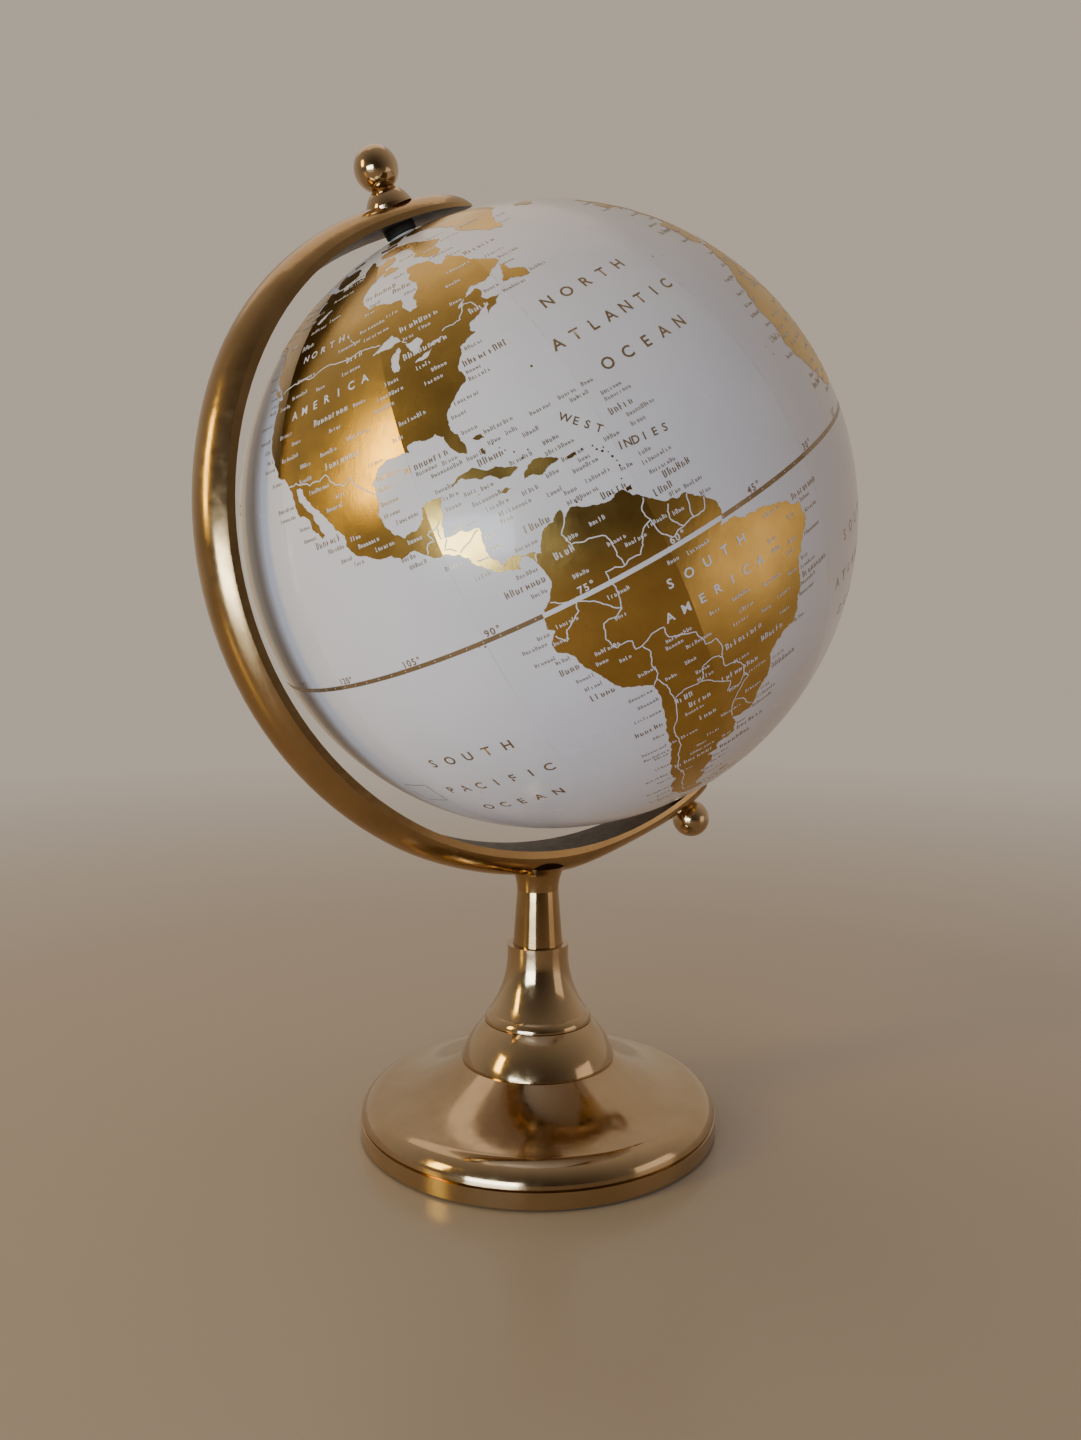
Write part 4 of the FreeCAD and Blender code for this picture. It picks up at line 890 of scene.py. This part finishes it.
FINISHES = {
    TURNED_METAL: ["base_dish", "bell_cup", "bell_collar", "north_cone", "north_ball",
                   "south_ball"],
    ARM_METAL: ["meridian_arm"],
    STEEL: ["tie_rod", "tie_washer", "spring_washer", "tie_nut", "axle_rod"],
    SKIN: ["globe_north", "globe_south"],
    FELT_AND_SHADOW_LINE: ["base_pad"],
    BUSH: ["north_bush", "south_bush"],
    SPACER_SHADE_DARK: ["north_spacer", "south_spacer"],
    BOARD: ["joint_ring"],
}
for finish, names in FINISHES.items():
    for name in names:
        for material_slot in frame["nodes"][name].material_slots:
            material_slot.material = finish

# ---------------------------------------------------------------- the printed map


class Land:
    """Tells land from water."""

    def __init__(self):
        self.outlines = []

    def add(self, coast, holes):
        chart = Chart(coast)
        loops = [[chart.flat(d) for d in loop] for loop in [coast] + holes]
        low = Vector((min(p.x for p in loops[0]), min(p.y for p in loops[0])))
        high = Vector((max(p.x for p in loops[0]), max(p.y for p in loops[0])))
        self.outlines.append((chart, loops, low, high))

    def at(self, lon, lat):
        direction = unit(lon, lat)
        for chart, loops, low, high in self.outlines:
            spot = chart.flat(direction)
            if not (low.x < spot.x < high.x and low.y < spot.y < high.y):
                continue
            if on_land(spot, loops):
                return True
        return False


POLE_HOLE = -86.2                        # latitude of the hole in the paper for the south bush


def build_land(land):
    """One foil piece for each land."""
    chance = random.Random(11)
    holes = [closed_coast(points, chance) for points in LAKES]
    coasts = {}
    for name, points in LAND.items():
        coast = closed_coast(points, chance)
        coasts[name] = coast
        own_holes = []
        if name == "north_america":
            own_holes = holes[:-1]
        if name == "eurasia":
            own_holes = holes[-1:]
        if name == "antarctica":
            own_holes = [[unit(lon, POLE_HOLE) for lon in range(0, 360, 15)]]
        land.add(coast, own_holes)
        directions, faces = triangulate(coast, own_holes)
        vertices = [place(d, FOIL_LIFT) for d in directions]
        add_piece("foil_" + name, vertices, faces, GOLD)
    return coasts


BORDER_WIDTH = 0.00032


def build_borders():
    """Fine white lines between countries."""
    chance = random.Random(5)
    sheet = Sheet()
    for line in BORDERS:
        ends = [unit(lon, lat) for lon, lat in line]
        points = []
        for a, b in zip(ends, ends[1:]):
            points += rough_edge(a, b, chance, BREAKS, BORDER_BEND, BORDER_FINEST)
        points.append(ends[-1])
        sheet.add(*ribbon(points, BORDER_WIDTH, PRINT_LIFT))
    sheet.piece("border_lines", PRINT, "map_print")


CAP_HEIGHT = 0.70                        # of the built-in font, for letters of size 1
BOLDER = 0.02                            # outward shift of a letter's outline, for size 1
GLYPHS = {}                              # letters made so far


def glyph(letter):
    """Outline points and faces of one letter of Blender's built-in plain font."""
    if letter not in GLYPHS:
        curve = bpy.data.curves.new("glyph", "FONT")
        curve.body = letter
        curve.size = 1.0
        curve.align_x = "CENTER"
        curve.resolution_u = 3
        curve.offset = BOLDER
        holder = bpy.data.objects.new("glyph", curve)
        mesh = bpy.data.meshes.new_from_object(holder)
        corners = [(v.co.x, v.co.y) for v in mesh.vertices]
        faces = [tuple(face.vertices) for face in mesh.polygons]
        bpy.data.objects.remove(holder)
        bpy.data.curves.remove(curve)
        bpy.data.meshes.remove(mesh)
        GLYPHS[letter] = (corners, faces)
    return GLYPHS[letter]


def letter_at(sheet, letter, lon, lat, height, lift, turn=0.0):
    corners, faces = glyph(letter)
    scale = height / CAP_HEIGHT
    outline = [(x * scale, y * scale) for x, y in corners]
    sheet.add(patch(lon, lat, outline, lift, turn), faces)


WORD_MARGIN = 2.0                        # degrees kept clear at each end of a large word
LABEL_MARGIN = 0.4                       # degrees kept clear at each end of a small label
LETTER_PITCH = 0.72                      # of a small label, as a share of its letter height
SMALL_LABEL = 0.00125
LARGE_LABEL = 0.0020

# One stand-in letter, as shares of its height
LOW_LETTER = 0.68
STROKE = 0.17
HALF_WIDTH = 0.24
BAR_LEVELS = (0.0, 0.4, 0.85)
# How often a stand-in letter is tall, has a second upright, has a bar
OFTEN_TALL = 0.2
OFTEN_DOUBLE = 0.75
OFTEN_BARRED = 0.7


class Printing:
    """Gold marks on the white ground and white marks on the foil."""

    def __init__(self, land):
        self.land = land
        self.gold = Sheet()
        self.white = Sheet()
        self.taken = []

    def sheet(self, on_foil):
        """The sheet and lift that show on foil or on the white ground."""
        return (self.white, PRINT_LIFT) if on_foil else (self.gold, LINE_LIFT)

    def sheet_at(self, lon, lat):
        """The sheet and lift that show at a place."""
        return self.sheet(self.land.at(lon, lat))

    def word(self, letters, first, last, lat, height, on_foil):
        """Spaced letters along a parallel."""
        sheet, lift = self.sheet(on_foil)
        for i, letter in enumerate(letters):
            lon = first + (last - first) * i / (len(letters) - 1)
            letter_at(sheet, letter, lon, lat, height, lift)
        tall = math.degrees(height / BALL_RADIUS)
        self.taken.append((first - WORD_MARGIN, last + WORD_MARGIN,
                           lat - 0.6 * tall, lat + 1.5 * tall))

    def is_free(self, first, last, low, high):
        for a, b, c, d in self.taken:
            if first < b and last > a and low < d and high > c:
                return False
        return True

    def scribble(self, lon, lat, count, height, chance, on_foil):
        """A row of plain strokes where the map has a small place name; lon is its west end."""
        narrow = BALL_RADIUS * math.cos(math.radians(lat))
        advance = math.degrees(height * LETTER_PITCH / narrow)
        last = lon + advance * count
        tall = math.degrees(height / BALL_RADIUS)
        if not self.is_free(lon - LABEL_MARGIN, last + LABEL_MARGIN,
                            lat - 0.2 * tall, lat + 1.3 * tall):
            return False
        for share in (0.0, 0.5, 1.0):
            for rise in (0.0, tall):
                if self.land.at(lon + (last - lon) * share, lat + rise) != on_foil:
                    return False
        for i in range(count):
            self.strokes(on_foil, lon + advance * (i + 0.5), lat, height, chance, i == 0)
        self.taken.append((lon, last, lat, lat + tall))
        return True

    def strokes(self, on_foil, lon, lat, height, chance, capital):
        """One stand-in letter: an upright, often a second one and often a bar, by chance."""
        sheet, lift = self.sheet(on_foil)
        tall = height if capital or chance.random() < OFTEN_TALL else LOW_LETTER * height
        thick = STROKE * height
        half = HALF_WIDTH * height
        boxes = [(-half, 0.0, -half + thick, tall)]
        if chance.random() < OFTEN_DOUBLE:
            boxes.append((half - thick, 0.1 * tall, half, tall * chance.uniform(0.7, 0.95)))
        if chance.random() < OFTEN_BARRED:
            level = chance.choice(BAR_LEVELS) * tall
            boxes.append((-half + thick, level, half - thick, level + 0.8 * thick))
        for x0, y0, x1, y1 in boxes:
            corners = [(x0, y0), (x1, y0), (x1, y1), (x0, y1)]
            sheet.add(patch(lon, lat, corners, lift), [(0, 1, 2, 3)])


EQUATOR_WIDTH = 0.0013
EQUATOR_STEP = 0.5                       # degrees
NUMBER_EVERY = 15                        # degrees
NUMBER_HEIGHT = 0.0019
NUMBER_EAST = 0.9                        # degrees from a tick to the middle of its first digit
NUMBER_NORTH = 0.5                       # degrees from the equator to the foot of the digits
NUMBER_PITCH = 0.95                      # degrees from digit to digit
TICK_LENGTH = 0.45                       # degrees each side of the equator
TICK_WIDTH = 0.0003


def equator(printing):
    """The equator, gold over water and white over land, with a number every 15 degrees."""
    for i in range(int(360 / EQUATOR_STEP)):
        lon = i * EQUATOR_STEP - 180.0
        sheet, lift = printing.sheet_at(lon + 0.5 * EQUATOR_STEP, 0.0)
        span = [unit(lon, 0.0), unit(lon + EQUATOR_STEP, 0.0)]
        sheet.add(*ribbon(span, EQUATOR_WIDTH, lift))
    for lon in range(-180, 180, NUMBER_EVERY):
        sheet, lift = printing.sheet_at(lon + 1.6, 0.8)
        for i, letter in enumerate(str(abs(lon)) + "\u00b0"):
            letter_at(sheet, letter, lon + NUMBER_EAST + NUMBER_PITCH * i, NUMBER_NORTH,
                      NUMBER_HEIGHT, lift)
        for side in (-1, 1):
            tick = [unit(lon, 0.0), unit(lon, TICK_LENGTH * side)]
            tick_sheet, tick_lift = printing.sheet_at(lon, 0.4 * side)
            tick_sheet.add(*ribbon(tick, TICK_WIDTH, tick_lift))
    printing.taken.append((-180, 180, -0.6, 1.8))


def curved_word(printing, letters, points, height):
    """Letters spread along a bent line of longitude, latitude points."""
    for i, letter in enumerate(letters):
        share = i / (len(letters) - 1) * (len(points) - 1)
        leg = min(int(share), len(points) - 2)
        a = Vector(points[leg])
        b = Vector(points[leg + 1])
        lon, lat = a.lerp(b, share - leg)
        rise = b - a
        turn = math.atan2(rise.y, rise.x * math.cos(math.radians(lat)))
        sheet, lift = printing.sheet_at(lon, lat)
        letter_at(sheet, letter, lon, lat, height, lift, turn)
        printing.taken.append((lon - 0.7, lon + 0.7, lat - 0.3, lat + 1.4))


# Distance along a coast from label to label, in radians
COAST_SPACING = {"north_america": 0.034, "south_america": 0.034, "cuba": 0.02, "hispaniola": 0.02}
OTHER_COAST_SPACING = 0.05
FIRST_COAST_LABEL = 0.02
COAST_LABEL_LIMIT = 72                   # degrees of latitude
COAST_LABEL_GAP = 0.5                    # degrees from the coast


def coast_labels(printing, coasts):
    """Small stroke labels in the water beside the coasts, running away from the land."""
    chance = random.Random(21)
    for name, coast in coasts.items():
        travelled = 0.0
        wanted = FIRST_COAST_LABEL
        for before, here in zip(coast, coast[1:]):
            travelled += (here - before).length
            if travelled < wanted:
                continue
            travelled = 0.0
            wanted = COAST_SPACING.get(name, OTHER_COAST_SPACING) * chance.uniform(0.6, 1.3)
            outward = (here - before).cross(here)
            lat = math.degrees(math.asin(here.z))
            if abs(lat) > COAST_LABEL_LIMIT:
                continue
            lon = math.degrees(math.atan2(here.y, here.x))
            east = Vector((-here.y, here.x, 0.0)).normalized()
            height = LARGE_LABEL if chance.random() < 0.18 else SMALL_LABEL
            count = chance.randint(4, 9)
            narrow = BALL_RADIUS * math.cos(math.radians(lat))
            length = math.degrees(count * height * LETTER_PITCH / narrow)
            starts = [lon + COAST_LABEL_GAP, lon - COAST_LABEL_GAP - length]
            if outward.dot(east) < 0:
                starts.reverse()
            shift = chance.uniform(-0.9, 0.3)
            for start in starts:
                if printing.scribble(start, lat + shift, count, height, chance, False):
                    break


INLAND_TRIES = 7000
INLAND_GAP = 0.35                        # degrees kept clear round a label
INLAND_ROOM = 728.0                      # degrees of room for a metre of label at the equator


def inland_labels(printing):
    """Small white stroke labels over the foil."""
    chance = random.Random(33)
    for _ in range(INLAND_TRIES):
        lon = chance.uniform(-170, 180)
        lat = math.degrees(math.asin(chance.uniform(-0.83, 0.93)))
        height = LARGE_LABEL if chance.random() < 0.2 else SMALL_LABEL
        count = chance.randint(4, 9)
        length = count * height * LETTER_PITCH * INLAND_ROOM / math.cos(math.radians(lat))
        if printing.is_free(lon - INLAND_GAP, lon + length + INLAND_GAP,
                            lat - INLAND_GAP, lat + INLAND_GAP + 1.0):
            printing.scribble(lon, lat, count, height, chance, True)


def sea_labels(printing, west, east, south, north, tries):
    """A crowd of small gold stroke labels, as round the Caribbean islands."""
    chance = random.Random(44)
    for _ in range(tries):
        height = LARGE_LABEL if chance.random() < 0.25 else SMALL_LABEL
        printing.scribble(chance.uniform(west, east), chance.uniform(south, north),
                          chance.randint(4, 10), height, chance, False)


SEAM_WIDTH = 0.00016
SEAM_END = 84                            # degrees of latitude where the seams stop


def seams():
    """Joins between the paper strips, from pole to pole."""
    sheet = Sheet()
    for lon in range(-180, 180, GORE_DEGREES):
        points = [unit(lon, lat) for lat in range(-SEAM_END, SEAM_END + 1, 2)]
        sheet.add(*ribbon(points, SEAM_WIDTH, SEAM_LIFT))
    sheet.piece("paper_seams", paper_seam(), "globe_skin")


ISLET_CORNERS = 8
ISLET_RADII = (0.00018, 0.00035)


def islets():
    """Small islands as round dots of foil."""
    sheet = Sheet()
    chance = random.Random(8)
    turns = [math.tau * i / ISLET_CORNERS for i in range(ISLET_CORNERS)]
    for lon, lat in ISLETS:
        radius = chance.uniform(*ISLET_RADII)
        corners = [(radius * math.cos(turn), radius * math.sin(turn)) for turn in turns]
        sheet.add(patch(lon, lat, corners, FOIL_LIFT), [tuple(range(ISLET_CORNERS))])
    sheet.piece("foil_islets", GOLD, "map_foil")


KEY_WEST, KEY_EAST = -127.9, -120.6
KEY_NORTH, KEY_SOUTH = -23.2, -28.6


def legend_box(printing):
    """The small empty frame of the map key."""
    corners = [(KEY_WEST, KEY_NORTH), (KEY_EAST, KEY_NORTH), (KEY_EAST, KEY_SOUTH),
               (KEY_WEST, KEY_SOUTH), (KEY_WEST, KEY_NORTH)]
    points = even_points([unit(lon, lat) for lon, lat in corners], 0.02)
    printing.gold.add(*ribbon(points, TICK_WIDTH, LINE_LIFT))


def build_printing(land, coasts):
    printing = Printing(land)
    for row in OCEAN_WORDS:
        printing.word(*row, False)
    for row in LAND_WORDS:
        printing.word(*row, True)
    equator(printing)
    for letters, points in ISLAND_WORDS:
        curved_word(printing, letters, points, ISLAND_WORD_HEIGHT)
    legend_box(printing)
    coast_labels(printing, coasts)
    sea_labels(printing, west=-90.0, east=-56.0, south=8.0, north=26.0, tries=420)
    inland_labels(printing)
    printing.gold.piece("printing_gold", GOLD_INK, "map_foil")
    printing.white.piece("printing_white", PRINT, "map_print")


LAND_MAP = Land()
COASTS = build_land(LAND_MAP)
build_borders()
islets()
seams()
build_printing(LAND_MAP, COASTS)

# ---------------------------------------------------------------- floor, light and camera

FLOOR_RADIUS = 6.0
FLOOR_COLOUR = (0.50, 0.42, 0.345)
FLOOR_FULL = 0.15                        # half the distance in metres where it starts to fade
FLOOR_GONE = 0.60                        # half the distance where it is gone


def floor():
    """A plain pale floor that fades into the plain background."""
    mesh = bpy.data.meshes.new("floor")
    made = bmesh.new()
    bmesh.ops.create_circle(made, cap_ends=True, segments=96, radius=FLOOR_RADIUS)
    made.to_mesh(mesh)
    made.free()
    plane = bpy.data.objects.new("floor", mesh)
    plane.location.z = cad_box[0].z
    bpy.context.scene.collection.objects.link(plane)
    graph = Graph(new_material("floor", FLOOR_COLOUR, roughness=0.25))
    texture = graph.node("ShaderNodeTexCoord")
    away = graph.maths("MULTIPLY", graph.vector("LENGTH", texture.outputs["Object"]), 0.5)
    graph.feed("Alpha", graph.ramp(away, [(FLOOR_FULL, 1.0), (FLOOR_GONE, 0.0)]))
    mesh.materials.append(graph.owner)


CAMERA_PLACE = (-0.19304, -0.31104, 0.16674)
CAMERA_DOWN = 3.91                       # degrees below level
CAMERA_YAW = 31.97                       # degrees from +Y towards +X
CAMERA_LENS = 26.70                      # mm
CAMERA_FRAME = 36.0                      # mm, along the picture's height


def lamp(name, side, height, near, distance, size, power, colour):
    """A soft rectangular light that faces the ball.  Its direction from the ball is given as
    parts to the camera's right, upwards and towards the camera."""
    yaw = math.radians(CAMERA_YAW)
    right = Vector((math.cos(yaw), -math.sin(yaw), 0.0))
    towards = Vector((-math.sin(yaw), -math.cos(yaw), 0.0))
    direction = (right * side + Vector((0.0, 0.0, 1.0)) * height + towards * near).normalized()
    data = bpy.data.lights.new(name, "AREA")
    data.shape = "RECTANGLE"
    data.size, data.size_y = size
    data.energy = power
    data.color = colour
    light = bpy.data.objects.new(name, data)
    light.location = CENTRE + direction * distance
    light.rotation_euler = direction.to_track_quat("Z", "Y").to_euler()
    light.visible_camera = False
    bpy.context.scene.collection.objects.link(light)


LAMP_LIGHT = (1.0, 0.70, 0.14)
WARM = (1.0, 0.80, 0.62)
COOL_WHITE = (0.80, 0.92, 1.0)

ROOM_DARK = (0.045, 0.032, 0.022)
ROOM_PALE = (0.50, 0.425, 0.345)


ROOM_RISE = 0.25                         # how far the pale side of the room leans upwards
ROOM_PALE_FROM = 0.8                     # where the dark side's fade ends, from 0 to 1


def lights():
    """Four soft lights: a warm lamp, a cool window, a pale ceiling and a lit wall."""
    lamp("lamp", side=-0.86, height=0.25, near=0.44, distance=1.3, size=(0.22, 0.50),
         power=4.4, colour=LAMP_LIGHT)
    lamp("window", side=-0.43, height=-0.13, near=0.88, distance=0.9, size=(0.48, 0.20),
         power=4.6, colour=COOL_WHITE)
    lamp("ceiling", side=-0.25, height=0.90, near=-0.35, distance=1.6, size=(1.4, 1.4),
         power=3.5, colour=WARM)
    lamp("wall", side=0.90, height=-0.22, near=0.30, distance=0.8, size=(0.4, 0.5),
         power=0.55, colour=WARM)


def room():
    """A plain background, pale ahead of the camera and dark behind it."""
    world = bpy.data.worlds.new("studio")
    bpy.context.scene.world = world
    world.use_nodes = True
    graph = Graph(world, "Background")
    yaw = math.radians(CAMERA_YAW)
    outwards = graph.node("ShaderNodeTexCoord").outputs["Generated"]
    ahead = graph.vector("DOT_PRODUCT", outwards, (math.sin(yaw), math.cos(yaw), ROOM_RISE))
    share = graph.maths("ADD", graph.maths("MULTIPLY", ahead, 0.5), 0.5)
    graph.feed("Color", graph.ramp(share, [(0.0, ROOM_DARK), (ROOM_PALE_FROM, ROOM_PALE)]))
    graph.shader.inputs["Strength"].default_value = 1.0


def camera():
    data = bpy.data.cameras.new("camera")
    data.lens = CAMERA_LENS
    data.sensor_width = CAMERA_FRAME
    data.clip_start = 0.01
    eye = bpy.data.objects.new("camera", data)
    eye.location = CAMERA_PLACE
    eye.rotation_euler = (math.radians(90.0 - CAMERA_DOWN), 0.0, math.radians(-CAMERA_YAW))
    bpy.context.scene.collection.objects.link(eye)
    bpy.context.scene.camera = eye


floor()
lights()
room()
camera()
